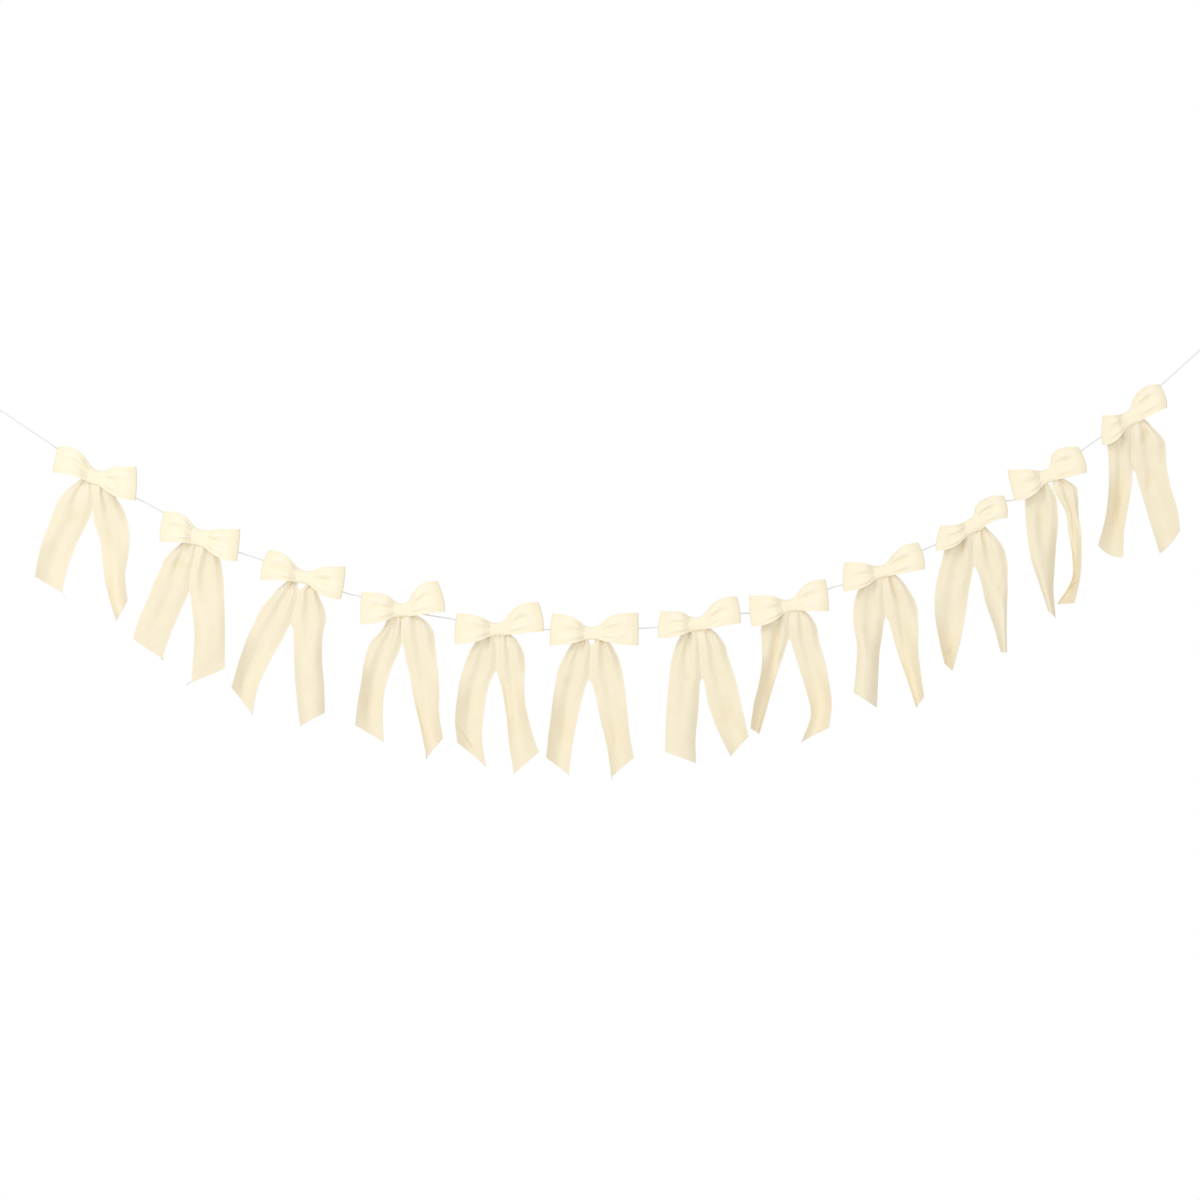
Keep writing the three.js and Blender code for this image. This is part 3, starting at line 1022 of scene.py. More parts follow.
@dataclass(frozen=True)
class Fray:
    """The loose threads at the long corner of a cut end, and which way they lead."""

    count: int
    shortest: float
    longest: float
    way: tuple[float, float] | None = None
    scatter: float = 0.6
    radius: float = 0.1
    sides: int = 5
    spacing: float = 0.8
    droop: float = 0.5
    root: float = 0.8
    up_edge: float = 1.5
    waver: float = 0.2
    strays: tuple[tuple[float, float], ...] = ((-1.0, 1.0), (-0.6, 0.3), (-0.8, 0.6))

    def add_to(
        self, bm: bmesh.types.BMesh, corner: Vector, along: Vector, draw: random.Random
    ) -> None:
        """Adds the threads of one corner to a bmesh.

        Args:
            bm: what the threads are added to, in metres.
            corner: the ribbon's corner, in millimetres in the part's frame.
            along: the way the ribbon's edge runs there, which they keep if they have no way.
            draw: what their lengths and ways are drawn from.
        """
        lead = along.normalized() if self.way is None else Vector((self.way[0], 0, self.way[1]))
        for _ in range(self.count):
            stray = Vector([draw.uniform(low, high) for low, high in self.strays])
            ahead = (lead.normalized() + stray * self.scatter).normalized()
            length = draw.uniform(self.shortest, self.longest)
            aside = Vector((draw.uniform(-self.root, self.root), 0, draw.uniform(0, self.up_edge)))
            line = [corner - ahead * self.root + aside]
            steps = max(3, round(length / self.spacing))
            for _ in range(steps):
                turn = Vector((draw.uniform(-self.waver, self.waver), 0, -self.droop / steps))
                ahead = (ahead + turn).normalized()
                line.append(line[-1] + ahead * (length / steps))
            add_part(bm, tube(line, self.sides, lambda distance, angle: self.radius))


WISP = Fray(2, 1.5, 3.5)
STRAY = Fray(3, 4.0, 8.0, scatter=0.4)
TUFT = Fray(16, 1.5, 4.0, scatter=1.0)
SMEAR = Fray(6, 6.0, 11.0, (-1.0, -0.1), 0.25)
STREAK = Fray(2, 13.0, 19.0, (0.8, -0.6), 0.3)


@dataclass(frozen=True)
class Tail:
    """One tail: how far out its outer and inner edges hang at six levels, and how it hangs.

    The drops are those of the cut end's two corners. Turn is how much nearer the room the
    outer edge is. A hollow of 1 is a tail hollow along its middle, and of -1 a ridged one. Kick
    is how far its end swings to the room, bulge how far a rounded end goes below its corners,
    neck how far out it is just under the knot, as a share of its first level, and fray the
    loose threads at its long corner.
    """

    spread: tuple[float, float]
    shoulder: tuple[float, float]
    between: tuple[float, float]
    middle: tuple[float, float]
    low: tuple[float, float]
    end: tuple[float, float]
    drop: tuple[float, float]
    turn: float
    hollow: int
    creases: tuple[Crease, ...]
    kick: float = 0.0
    bulge: float = 0.0
    neck: float = 0.73
    fray: Fray | None = None


@dataclass(frozen=True)
class Bow:
    """One bow: its knot's place, the lean of its waist in degrees, its loops and its tails.

    Lift is how much further up than down its waist reaches. The slit is the opening between the
    tails just under the knot, and they part again at the drop given as parts.
    """

    across: float
    rise: float
    lean: float
    lift: float
    parts: float
    loops: tuple[Loop, Loop]
    tails: tuple[Tail, Tail]
    slit: tuple[float, float] = (-0.6, 0.6)


@dataclass
class TailShape:
    """The surface of one tail, from the middle of its knot to its cut end.

    The side is -1 for the bow's left tail and 1 for its right one. The seed sets where the
    tail's noise is read, so that no two are alike.
    """

    bow: Bow
    side: int
    seed: float

    # Its half height and depth in the knot
    half_height: float = 5.6
    layer: float = 1.1
    # The levels of its stations, the pleats' height there, and how far it has settled
    start: float = -0.08
    places: tuple[float, ...] = (start, -0.036, 0.01, 0.06, 0.14, 0.27, 0.43, 0.6, 0.8, 1.0)
    pleated: tuple[float, ...] = (0.0, 0.0, 1.0, 3.0, 4.6, 3.6, 2.4, 1.2, 0.6, 0.0)
    settled: tuple[float, ...] = (0.0, 0.0, 0.0, 0.0, 0.0, 0.0, 0.5, 1.0, 1.0, 1.0)
    # Where its outer and inner edges turn down at the knot
    turn_least: float = 16.0
    turn_share: float = 0.42
    turn_drop: float = 4.0
    turn_leans: float = 14.0
    turn_inner: tuple[float, float] = (8.2, -6.0)
    neck_drop: float = 13.0
    neck_lean: float = 0.5
    slit_top: float = 5.0
    slit_deepens: float = 1.2
    spread_drop: float = 28.0
    # How far back it hangs, and the depth of the wall behind it
    hang_back: float = 2.0
    wall: float = 3.0
    # The unevenness of its hang, in depth and sideways, and how often it changes along and across
    loose: tuple[float, float] = (0.15, 0.45)
    flutter: float = 0.8
    flutters: tuple[float, float] = (7.0, 1.3)
    sway: float = 0.35
    sways: tuple[float, float] = (9.0, 0.7)
    sway_seed: float = 40.0
    # The curl of its edges, and the levels between which its kick, bulge and creases come in
    edge_curl: float = 0.8
    kicks: tuple[float, float] = (0.8, 1.02)
    bulges: tuple[float, float] = (0.85, 1.0)
    creased: tuple[float, float] = (-0.02, 0.05)
    # The drops between which it meets the other tail, and how far it laps over or under it
    meets: tuple[float, float] = (14.0, 22.0)
    parts_over: float = 14.0
    lap: float = 1.0
    lap_depth: float = 0.7
    # The painted shade: a crease of this depth is painted fully in shade and a ridge painted
    # lighter, and the neck, in the loops' shadow, is painted lighter down to a level
    shaded_depth: float = 6.0
    lit: float = 0.7
    lit_levels: tuple[float, float] = (0.04, 0.22)

    def __post_init__(self) -> None:
        """Lays out the tail's edges and its depths."""
        self.tilt = math.radians(self.bow.lean)
        self.tail = self.bow.tails[(self.side + 1) // 2]
        self.other = self.bow.tails[(1 - self.side) // 2]
        self.length = (self.tail.drop[0] + self.tail.drop[1]) / 2
        self.inner = Track(self.places, self.edge(self.side, 1))
        self.outer = Track(self.places, self.edge(self.side, 0))
        self.beyond = Track(self.places, self.edge(-self.side, 1))
        self.depths = Track(self.places, [self.section(i) for i in range(len(self.places))])

    def edge(self, side: int, which: int) -> list[Vector]:
        """Finds where one edge of either tail passes each station.

        Args:
            side: -1 for the left tail and 1 for the right one.
            which: 0 for the outer edge and 1 for the inner one.

        Returns:
            The edge's points, as (x, z).
        """
        tail = self.bow.tails[(side + 1) // 2]
        waist = Waist(self.tilt)
        at_knot = [waist.edges(x, self.half_height)[1 - which] for x in (0, side * EXIT)]
        if which == 0:
            out = max(self.turn_least, self.turn_share * tail.spread[0])
            lean_up = side * math.sin(self.tilt)
            turned = [
                Vector((side * out, self.turn_leans * lean_up - self.turn_drop)),
                Vector((side * tail.neck * tail.spread[0], -self.neck_drop)),
            ]
        else:
            out, rise = self.turn_inner
            left, right = self.bow.slit
            top = self.slit_top + self.slit_deepens * (right - left)
            neck = Vector((right if side > 0 else left, -top))
            turned = [
                self.leaned(Vector((side * out, rise)), self.tilt),
                self.leaned(neck, self.tilt * self.neck_lean),
            ]
        spread = Vector((side * tail.spread[which], -self.spread_drop))
        levels = (tail.shoulder, tail.between, tail.middle, tail.low, tail.end)
        hanging = [
            Vector((side * level[which], -tail.drop[which] * place))
            for level, place in zip(levels, self.places[5:])
        ]
        return [*at_knot, *turned, spread, *hanging]

    @staticmethod
    def leaned(point: Vector, angle: float) -> Vector:
        """Returns a point turned about the knot's middle."""
        cosine, sine = math.cos(angle), math.sin(angle)
        return Vector((point.x * cosine - point.y * sine, point.x * sine + point.y * cosine))

    def section(self, i: int) -> Vector:
        """Works out the depths of the tail at a station.

        Args:
            i: the station's number.

        Returns:
            The middle's depth, how much nearer the room the outer edge is, the hollow's sag
            and the pleats' height.
        """
        place, share = self.places[i], self.settled[i]
        if share == 0:
            return Vector((self.layer, 0.0, 0.0, self.pleated[i]))
        before, after = self.places[i - 1], self.places[min(i + 1, len(self.places) - 1)]
        along = self.middle(after) - self.middle(before)
        along.normalize()
        span = self.outer.at(place) - self.inner.at(place)
        width = abs(span.x * along.y - span.y * along.x)
        turn = self.tail.turn * share
        slanted = math.hypot(width, turn)
        sag = share * math.sqrt(3 / 8 * slanted * max(0.0, RIBBON_WIDTH - slanted))
        sag *= self.tail.hollow
        raw = [-turn * v / 2 + sag * (1 - v * v) for v in (-1, -0.5, 0, 0.5, 1)]
        base = min(self.layer - self.hang_back * share, self.wall - max(raw))
        return Vector((base, turn, sag, self.pleated[i]))

    def middle(self, level: float) -> Vector:
        """Returns the middle between the two edges at a level."""
        return (self.inner.at(level) + self.outer.at(level)) / 2

    @staticmethod
    def unevenness(level: float, v: float, often: tuple[float, float], seed: float) -> float:
        """Returns a noise from -1 to 1 that changes so often along and across the tail."""
        return noise.noise(Vector((level * often[0], v * often[1], seed)))

    def relief(self, level: float, v: float) -> float:
        """Returns how far the tail's own creases push it back."""
        starts = smoothstep(level, *self.creased)
        return starts * sum(c.relief(level, v, self.length) for c in self.tail.creases)

    def point(self, way: float, v: float) -> Vector:
        """Finds a point of the tail.

        Args:
            way: share of the way from the knot's middle to the cut end.
            v: place across, -1 at the inner edge and 1 at the outer one.

        Returns:
            The point from the knot's middle, in millimetres.
        """
        level = lerp(self.start, 1.0, way)
        base, turn, sag, pleat = self.depths.at(level)
        depth = base - turn * v / 2 + sag * (1 - v * v) - pleat * math.sin(math.pi * v) ** 2
        depth += self.relief(level, v)
        loose = smoothstep(level, *self.loose)
        depth += loose * self.flutter * self.unevenness(level, v, self.flutters, self.seed)
        depth += loose * self.edge_curl * abs(v) ** 6
        depth -= self.tail.kick * smoothstep(level, *self.kicks)
        inner, outer = self.inner.at(level), self.outer.at(level)
        meets = smoothstep(-inner.y, *self.meets)
        meets *= 1 - smoothstep(-inner.y, self.bow.parts - self.parts_over, self.bow.parts)
        if meets > 0:
            beyond = self.beyond.at(level * self.tail.drop[1] / self.other.drop[1])
            inner.x = lerp(inner.x, (inner.x + beyond.x) / 2 - self.side * self.lap, meets)
            depth -= self.side * self.lap_depth * meets * ((1 - v) / 2) ** 4
        flat = lerp(inner, outer, (v + 1) / 2)
        sway = self.unevenness(level, v, self.sways, self.seed + self.sway_seed)
        drop = self.tail.bulge * (1 - v * v) * smoothstep(level, *self.bulges)
        return Vector((flat.x + loose * self.sway * sway, depth, flat.y - drop))

    def tone(self, way: float, v: float) -> float:
        """Works out how much shade is painted on a point of the tail: darker in its creases,
        lighter on its ridges and at its neck under the loops.

        Args:
            way: share of the way from the knot's middle to the cut end.
            v: place across, -1 at the inner edge and 1 at the outer one.

        Returns:
            The painted shade, where 0 is open cloth, 1 the shade deep in a fold, and below 0
            painted light.
        """
        level = lerp(self.start, 1.0, way)
        # Painted shade in creases and painted light on ridges, less the painted light at the neck
        folded = clamp(self.relief(level, v) / self.shaded_depth, -1)
        return folded - self.lit * (1 - smoothstep(level, *self.lit_levels))


@dataclass
class KnotShape:
    """The surface of the band round a bow's waist, which spreads into the loops on both sides.

    The seed sets where its noise is read.
    """

    bow: Bow
    seed: float

    half_width: float = 13.0
    half_behind: float = 7.5
    half_height: float = 8.0
    front: float = -7.0
    back: float = 5.8
    # How square its corners are, and how far its ends sink into the loops
    corner: float = 3.4
    sunk: float = 0.9
    # The depth of its slow and fine folds, how often they come along and up it, and where the
    # fine ones' noise is read
    slow: float = 0.5
    slows: tuple[float, float] = (0.04, 1.2)
    fine: float = 0.55
    fines: tuple[float, float] = (0.03, 3.4)
    fine_start: float = 9.0
    fine_seed: float = 5.0

    def __post_init__(self) -> None:
        """Finds where the band's two ends lie on the loops."""
        self.waist = Waist(math.radians(self.bow.lean), self.bow.lift)
        self.rims: dict[int, tuple[Vector, Vector]] = {}
        self.fronts: dict[int, float] = {}
        for side, loop in zip(Side, self.bow.loops):
            out = (loop.top_out + loop.bottom_out) / 2
            share = (self.half_width - EXIT) / (out - EXIT)
            self.rims[side.value] = loop.edges(self.waist, side.value, share)
            self.fronts[side.value] = loop.back(share) - loop.opening(share) + self.sunk

    def creased(self, height: float, x: float) -> float:
        """Works out how far back the band's small folds lie.

        Args:
            height: place up the band, from -1 to 1.
            x: how far from the knot's middle, in millimetres.

        Returns:
            The depth in millimetres, away from the room.
        """
        slow = noise.noise(Vector((x * self.slows[0], height * self.slows[1], self.seed)))
        along, up = x * self.fines[0] + self.fine_start, height * self.fines[1]
        fine = noise.noise(Vector((along, up, self.seed + self.fine_seed)))
        return self.slow * slow + self.fine * fine

    def point(self, way: float, v: float) -> Vector:
        """Finds a point of the band.

        Args:
            way: share of the way round it, from the middle of its back.
            v: place across it, from -1 at its left edge to 1 at its right one.

        Returns:
            The point from the knot's middle, in millimetres.
        """
        angle = 2 * math.pi * way if 0 < way < 1 else 0.0
        circle = (math.cos(angle), math.sin(angle))
        section = [math.copysign(abs(c) ** (2 / self.corner), c) for c in circle]
        side = -1 if v < 0 else 1
        in_front = smoothstep((1 - section[0]) / 2)
        s = abs(v) * lerp(self.half_behind / self.half_width, 1.0, in_front)
        out = self.waist.along() * (side * self.half_width)
        middle = self.waist.edges(0.0, self.half_height)
        low, high = (
            start + out * s + (rim - start - out) * (s * s)
            for start, rim in zip(middle, self.rims[side])
        )
        front = lerp(self.front, self.fronts[side], s * s)
        flat = lerp(low, high, (section[1] + 1) / 2)
        depth = lerp(front, self.back, (section[0] + 1) / 2)
        depth += in_front * self.creased(section[1], v * self.half_width)
        return Vector((flat.x, depth, flat.y))


# -------------------------------------------------------------------------------- bows


BOWS = (
    Bow(193, -138, -15, 5, 52, slit=(-3, -1), loops=(
        Loop(55, 50, 64, 10, 2.8, 2.2, 0, 1, (
            *gathers(0.62, 0.75, 0.2, -0.65),
            Crease(0.05, -0.1, 0.75, -0.3, 5.0, 2.2, 0.3),
            Crease(0.05, 0.6, 0.6, 0.5, 5.0, 1.6, 0.2),
        )),
        Loop(61, 19, 60, -32, 6, 2.2, 0, 1.5, (
            *gathers(0.62, 0.7, 0.05, -0.75),
            Crease(0.3, 0.45, 0.56, 0.1, 4.0, 2.4, 0.6),
            Crease(0.58, 0.05, 0.48, -0.55, 4.0, 2.0, 0.4),
            Crease(0.0, -0.5, 0.4, -0.6, 4.0, 2.2),
        )),
    ), tails=(
        Tail((55, 3), (60, 5), (69, 17), (78, 31), (86, 43), (90.5, 51), (146, 170), 6, 1, (
            *pleats(0.19, -0.75, 0.1),
            Crease(0.25, 0.0, 0.48, -0.5, 6.0, 2.6, 0.4),
            Crease(0.55, 0.3, 0.85, 0.1, 9.0, 1.6, 0.5),
        ), kick=5, fray=STREAK),
        Tail((31, -2), (43, -4), (50, 6), (50, 10), (45, 18), (49, 31), (180, 213), 18, 1, (
            *pleats(0.22, -0.2, 0.5),
            Crease(0.3, -0.4, 0.6, -0.2, 7.0, 1.8, 0.5),
        ), kick=4),
    )),
    Bow(347.5, -229, -12, 7, 84, loops=(
        Loop(51, 43, 58, -3, 3.1, 2.2, 0, 2, (
            *gathers(0.62, 0.7, 0.35, -0.7),
            Crease(0.1, 0.1, 0.9, 0.05, 3.6, 2.4, 0.6),
            Crease(0.2, -0.35, 0.85, -0.4, 3.2, 1.8, 0.6),
        )),
        Loop(62, 16.5, 57, -32, 6, 2.2, 0, 1, (
            *gathers(0.62, 0.65, -0.15, -0.75),
            Crease(0.0, 0.2, 0.6, 0.25, 4.0, 2.6, 0.2),
            Crease(0.1, -0.45, 0.5, -0.35, 4.0, 1.8, 0.4),
        )),
    ), tails=(
        Tail((51, 6), (56, 13), (67, 15), (77, 28), (90, 43), (99, 55), (148, 178), 5, 1, (
            *pleats(0.16, 0.7, -0.75),
            Crease(0.06, 0.1, 0.32, 0.0, 5.0, 3.0, 0.4),
            Crease(0.5, -0.1, 0.85, 0.1, 8.0, 1.6, 0.5),
        ), kick=5, fray=TUFT),
        Tail((31, -5), (36, -12), (38, -12), (39, -7), (39, -8), (39, -12), (193, 214), 6, -1, (
            *pleats(0.22, 0.15),
            Crease(0.1, -0.7, 0.38, -0.7, 4.5, -1.8, 0.4),
            Crease(0.12, -0.3, 0.5, -0.35, 5.0, 1.8, 0.3),
            Crease(0.5, 0.3, 0.85, 0.2, 7.0, 1.4, 0.5),
        ), kick=-2, fray=SMEAR),
    )),
    Bow(505, -286, -10, 2, 78, slit=(-8, 0), loops=(
        Loop(52, 42, 64, -3, 2.3, 2.2, 0, 3.5, (
            *gathers(0.62, 0.7, 0.35, -0.75),
            Crease(0.15, 0.0, 0.85, -0.05, 4.2, 2.4, 0.65),
            Crease(0.05, -0.5, 0.5, -0.5, 4.0, 1.8, 0.3),
        )),
        Loop(62, 17.5, 55, -32, 5, 2.2, 0, 2, (
            *gathers(0.62, 0.65, -0.2, -0.8),
            Crease(0.1, 0.1, 0.75, 0.05, 5.0, 3.4, 0.65),
            Crease(0.05, -0.5, 0.45, -0.45, 4.0, 1.8, 0.3),
        )),
    ), tails=(
        Tail((49, 9), (63, 18), (76, 30), (88, 50), (99, 69), (108, 77), (164, 205), 8, 1, (
            *pleats(0.2, -0.05, -0.6),
            Crease(0.3, 0.0, 0.65, 0.05, 6.0, -1.4, 0.5),
            Crease(0.7, 0.35, 0.99, 0.3, 5.5, 2.2, 0.6),
        ), kick=1, fray=WISP),
        Tail((23, -8), (33, -16), (28, -15), (27, -14), (30, -11), (31, -6), (202, 222), 5, -1, (
            *pleats(0.18, -0.22, 0.12, 0.42),
            Crease(0.3, -0.5, 0.6, -0.45, 7.0, 1.2, 0.5),
        ), kick=-4, fray=WISP),
    )),
    Bow(652, -335.5, -2, 3, 54, loops=(
        Loop(60, 28, 61, -20, 4, 2.2, 0, 1, (
            *gathers(0.62, 0.6, 0.1, -0.7),
            Crease(0.05, -0.25, 0.6, -0.3, 4.0, 2.4, 0.3),
            Crease(0.52, 0.6, 0.6, -0.2, 5.0, 1.6, 0.5),
        )),
        Loop(53, 45, 65, -1, 3.3, 1, 0, 2.5, (
            *gathers(0.62, 0.75, 0.5, -0.1, -0.7),
            Crease(0.3, 0.25, 0.65, 0.15, 4.2, 2.2, 0.5),
            Crease(0.2, -0.4, 0.6, -0.3, 4.5, 1.6, 0.5),
        )),
    ), tails=(
        Tail((30, 1), (47, 2), (56, 15), (60, 26), (66, 29), (70, 27), (171, 197), 14, 1, (
            *pleats(0.19, -0.36, -0.8),
            Crease(0.6, 0.2, 0.95, 0.25, 6.5, 2.4, 0.5),
        )),
        Tail((46, 0), (50, 3), (53, 11), (56, 18), (56, 28), (62, 37), (190, 220), 16, 1, (
            *pleats(0.2, 0.02, 0.3),
            Crease(0.45, -0.85, 0.98, -0.8, 6.0, 2.6, 0.6),
            Crease(0.5, 0.35, 0.95, 0.4, 6.0, -1.4, 0.5),
        ), kick=-2, fray=TUFT),
    )),
    Bow(796, -364, 1, 2.5, 68, slit=(-2.4, -0.4), loops=(
        Loop(61, 25.5, 64, -21, 2.3, 2.2, 0, 1.5, (
            *gathers(0.62, 0.75, 0.05, -0.6),
            Crease(0.08, 0.3, 0.9, 0.35, 3.4, 2.6, 0.4),
            Crease(0.1, -0.2, 0.85, -0.25, 3.4, 2.2, 0.4),
        )),
        Loop(60, 42, 68, -2, 3.1, 1, 0, 3, (
            *gathers(0.62, 0.75, 0.4, -0.15, -0.75),
            Crease(0.25, 0.1, 0.7, 0.15, 4.5, 2.2, 0.5),
            Crease(0.05, -0.5, 0.5, -0.45, 4.0, 1.8, 0.3),
        )),
    ), tails=(
        Tail((40, 2), (48, 3), (56, 15), (61, 21), (64, 24), (61, 18), (168, 205), 8, 1, (
            *pleats(0.19, -0.05, -0.67),
            Crease(0.45, 0.1, 0.8, 0.1, 6.5, 2.2, 0.5),
            Crease(0.8, 1.0, 1.0, -0.8, 2.6, 2.6, 0.4),
        ), fray=WISP),
        Tail((36, -1), (41, -2), (39, 7), (41, 13), (49, 17), (61, 24), (183, 216), 16, 1, (
            *pleats(0.2, -0.12, -0.7, 0.5),
            Crease(0.22, -0.75, 0.65, -0.7, 5.5, 2.6, 0.5),
        ), kick=2, fray=WISP),
    )),
    Bow(937, -370, 0, 2, 76, slit=(-3.5, 2.5), loops=(
        Loop(59, 31, 63, -17, 2.4, 2.2, 0, 1, (
            *gathers(0.62, 0.75, 0.05, -0.7),
            Crease(0.05, -0.3, 0.65, -0.35, 4.0, 2.4, 0.3),
            Crease(0.1, 0.35, 0.6, 0.3, 5.0, 1.4, 0.4),
        )),
        Loop(69, 32, 69, -17, 3.4, 2.2, 0, 0.5, (
            *gathers(0.62, 0.7, -0.1, -0.65),
            Crease(0.5, -0.7, 0.85, -0.3, 6.0, 2.4, 0.5),
            Crease(0.05, 0.25, 0.6, 0.2, 4.0, 2.0, 0.3),
        )),
    ), tails=(
        Tail((39, 2), (50, 4), (56, 13), (60, 22), (65, 30), (69, 35), (185, 211), 10, 1, (
            *pleats(0.18, -0.38, 0.2),
            Crease(0.3, 0.9, 0.43, -0.7, 6.0, 1.8, 0.4),
            Crease(0.5, -0.1, 0.95, -0.1, 6.0, 2.4, 0.5),
        ), fray=WISP),
        Tail((36, -1), (44, -3), (49, 5), (52, 13), (56, 23), (62, 29), (185, 215), 12, 1, (
            *pleats(0.2, -0.7),
            Crease(0.0, 0.1, 0.26, 0.15, 4.2, 4.2),
            Crease(0.55, -0.2, 0.9, -0.15, 6.5, 2.2, 0.5),
        ), fray=STRAY),
    )),
    Bow(1094.5, -356.5, 6, 3, 88, loops=(
        Loop(53, 21, 57, -20, 5, 2.2, 0, 3, (
            *gathers(0.85, 0.75, 0.45, -0.1, -0.7),
            Crease(0.08, 0.15, 0.85, 0.2, 3.4, 2.4, 0.5),
            Crease(0.05, -0.35, 0.6, -0.35, 3.6, 1.8, 0.3),
        )),
        Loop(59, 43, 65, 3, 2.7, 1, 0, 2, (
            *gathers(0.7, 0.75, 0.45, -0.1, -0.6),
            Crease(0.25, 0.2, 0.7, 0.1, 4.6, 2.2, 0.5),
            Crease(0.25, -0.5, 0.6, -0.35, 4.2, 2.0, 0.5),
        )),
    ), tails=(
        Tail((31, -3), (38, -5), (42, -4), (45, -2), (47, 2), (48, 2), (190, 207), 4, -1, (
            *pleats(0.17, -0.6),
            Crease(0.0, -0.1, 0.28, 0.25, 4.0, 4.0),
            Crease(0.38, 0.1, 0.4, -0.6, 6.0, 1.8, 0.4),
        )),
        Tail((41, 4), (46, 6), (55, 11), (62, 17), (69, 31), (77, 50), (167, 197), 6, 1, (
            *pleats(0.19, 0.2, -0.6),
            Crease(0.52, 0.0, 0.9, 0.05, 9.0, 2.6, 0.5),
        )),
    )),
    Bow(1234, -328, 8, 1.5, 56, loops=(
        Loop(61, 16, 57, -31, 4.2, 2.2, 0, 1.5, (
            *gathers(0.62, 0.7, 0.4, -0.25, -0.8),
            Crease(0.0, 0.05, 0.5, 0.2, 4.2, 2.6, 0.3),
            Crease(0.15, -0.5, 0.7, -0.4, 4.6, 1.8, 0.4),
        )),
        Loop(52, 40, 57, -8, 3, 2.2, 1, 2, (
            *gathers(0.62, 0.7, 0.3, -0.5),
            Crease(0.1, -0.1, 0.6, 0.1, 4.5, 1.8, 0.4),
            Crease(0.62, 0.6, 0.75, -0.3, 5.5, 1.8, 0.5),
        )),
    ), tails=(
        Tail((42, 1), (43, 3), (42, 13), (46, 24), (55, 35), (60, 46), (183, 192), 20, 1, (
            *pleats(0.17, 0.6),
            Crease(0.04, -0.05, 0.85, -0.1, 4.6, 3.4, 0.2),
            Crease(0.28, -0.95, 0.52, -0.9, 5.0, 2.0, 0.5),
        )),
        Tail((39, 0), (43, 2), (51, 12), (57, 23), (62, 31), (58, 17), (182, 204), 12, 1, (
            *pleats(0.16, 0.45, -0.5),
            Crease(0.58, 0.5, 0.86, 0.5, 5.5, 2.4, 0.5),
        ), kick=1, fray=WISP),
    )),
    Bow(1372, -277, 11, 1.5, 76, loops=(
        Loop(56, 15, 58, -29, 3, 2.2, 0, 2, (
            *gathers(0.62, 0.7, 0.4, -0.15, -0.8),
            Crease(0.05, 0.1, 0.7, 0.1, 4.4, 2.0, 0.4),
            Crease(0.05, -0.45, 0.6, -0.5, 4.0, 1.8, 0.3),
        )),
        Loop(53, 44, 63, 4, 2.5, 1, 1, 3.5, (
            *gathers(0.62, 0.75, 0.25, -0.4, -0.75),
            Crease(0.15, -0.05, 0.75, 0.1, 3.8, 2.4, 0.5),
            Crease(0.2, 0.5, 0.6, 0.4, 4.6, 1.4, 0.4),
        )),
    ), tails=(
        Tail((36, -2), (42, -4), (43, -1), (38, 4), (39, 6), (43, 8), (181, 203), 14, -1, (
            *pleats(0.18, 0.2, -0.5),
            Crease(0.42, 0.6, 0.47, -0.6, 8.0, 1.4, 0.5),
        )),
        Tail((41, 3), (52, 5), (54, 14), (53, 24), (57, 38), (62, 51), (187, 204), 22, 1, (
            *pleats(0.16, -0.75),
            Crease(0.0, -0.35, 0.34, 0.2, 4.2, 4.4, 0.1),
            Crease(0.26, -0.2, 0.62, -0.2, 6.5, 2.2, 0.5),
            Crease(0.38, -0.95, 0.64, -0.95, 5.0, 1.8, 0.5),
        ), kick=3),
    )),
    Bow(1508.5, -209.5, 18, 5, 66, loops=(
        Loop(49, 2, 56.5, -36, 5, 2.2, 0, 2, (
            *gathers(1.0, 0.85, 0.5, 0.15, -0.2, -0.5, -0.85),
            Crease(0.05, 0.25, 0.7, 0.15, 4.2, 2.0, 0.4),
            Crease(0.05, -0.35, 0.7, -0.3, 4.2, 1.8, 0.4),
        )),
        Loop(45, 47, 50, 13, 4.4, 2.2, 6.5, 3, (
            *gathers(1.0, 0.85, 0.5, 0.15, -0.2, -0.5, -0.85),
            Crease(0.1, 0.05, 0.75, 0.1, 4.4, 3.0, 0.5),
            Crease(0.3, 0.55, 0.75, 0.5, 4.0, 1.6, 0.5),
        )),
    ), tails=(
        Tail((40, 0), (48, 0), (56, 6), (58, 11), (53, 20), (44, 31), (204, 216), 8, 1, (
            *pleats(0.16, -0.6),
            Crease(0.0, -0.15, 0.3, 0.1, 4.2, 4.4, 0.1),
            Crease(0.72, -0.3, 0.99, 0.0, 5.5, 2.2, 0.6),
        )),
        Tail((44, 1), (51, 2), (51, 12), (50, 19), (49, 32), (49.5, 42), (188, 188), 22, -1, (
            *pleats(0.17, -0.75, 0.5),
            Crease(0.0, -0.3, 0.27, 0.05, 4.0, 4.2, 0.1),
            Crease(0.38, 0.75, 0.6, 0.0, 5.0, 2.4, 0.4),
            Crease(0.55, 0.7, 0.95, 0.7, 4.5, -1.4, 0.5),
        )),
    )),
    Bow(1621, -134.5, 18, 3, 0, slit=(-0.5, 4.5), loops=(
        Loop(61, 11, 50, -36, 6, 2.2, 0, 1, (
            *gathers(0.62, 0.7, 0.35, -0.15, -0.7),
            Crease(0.02, 0.05, 0.55, 0.2, 4.2, 2.8, 0.2),
            Crease(0.2, -0.4, 0.75, -0.3, 5.0, 1.8, 0.5),
        )),
        Loop(44, 45, 57, 6, 6, 1, 5, 3.5, (
            *gathers(0.62, 0.7, 0.3, -0.2, -0.8),
            Crease(0.2, 0.0, 0.75, 0.15, 5.0, 2.8, 0.5),
            Crease(0.2, -0.55, 0.6, -0.5, 4.0, 1.6, 0.4),
        )),
    ), tails=(
        Tail(
            (33, -11), (34, -15), (32, -13), (26.5, -10), (13.5, -8), (0.5, -11),
            (201, 211), 16, -1, (
                *pleats(0.17, -0.7, -0.3, 0.1, 0.55),
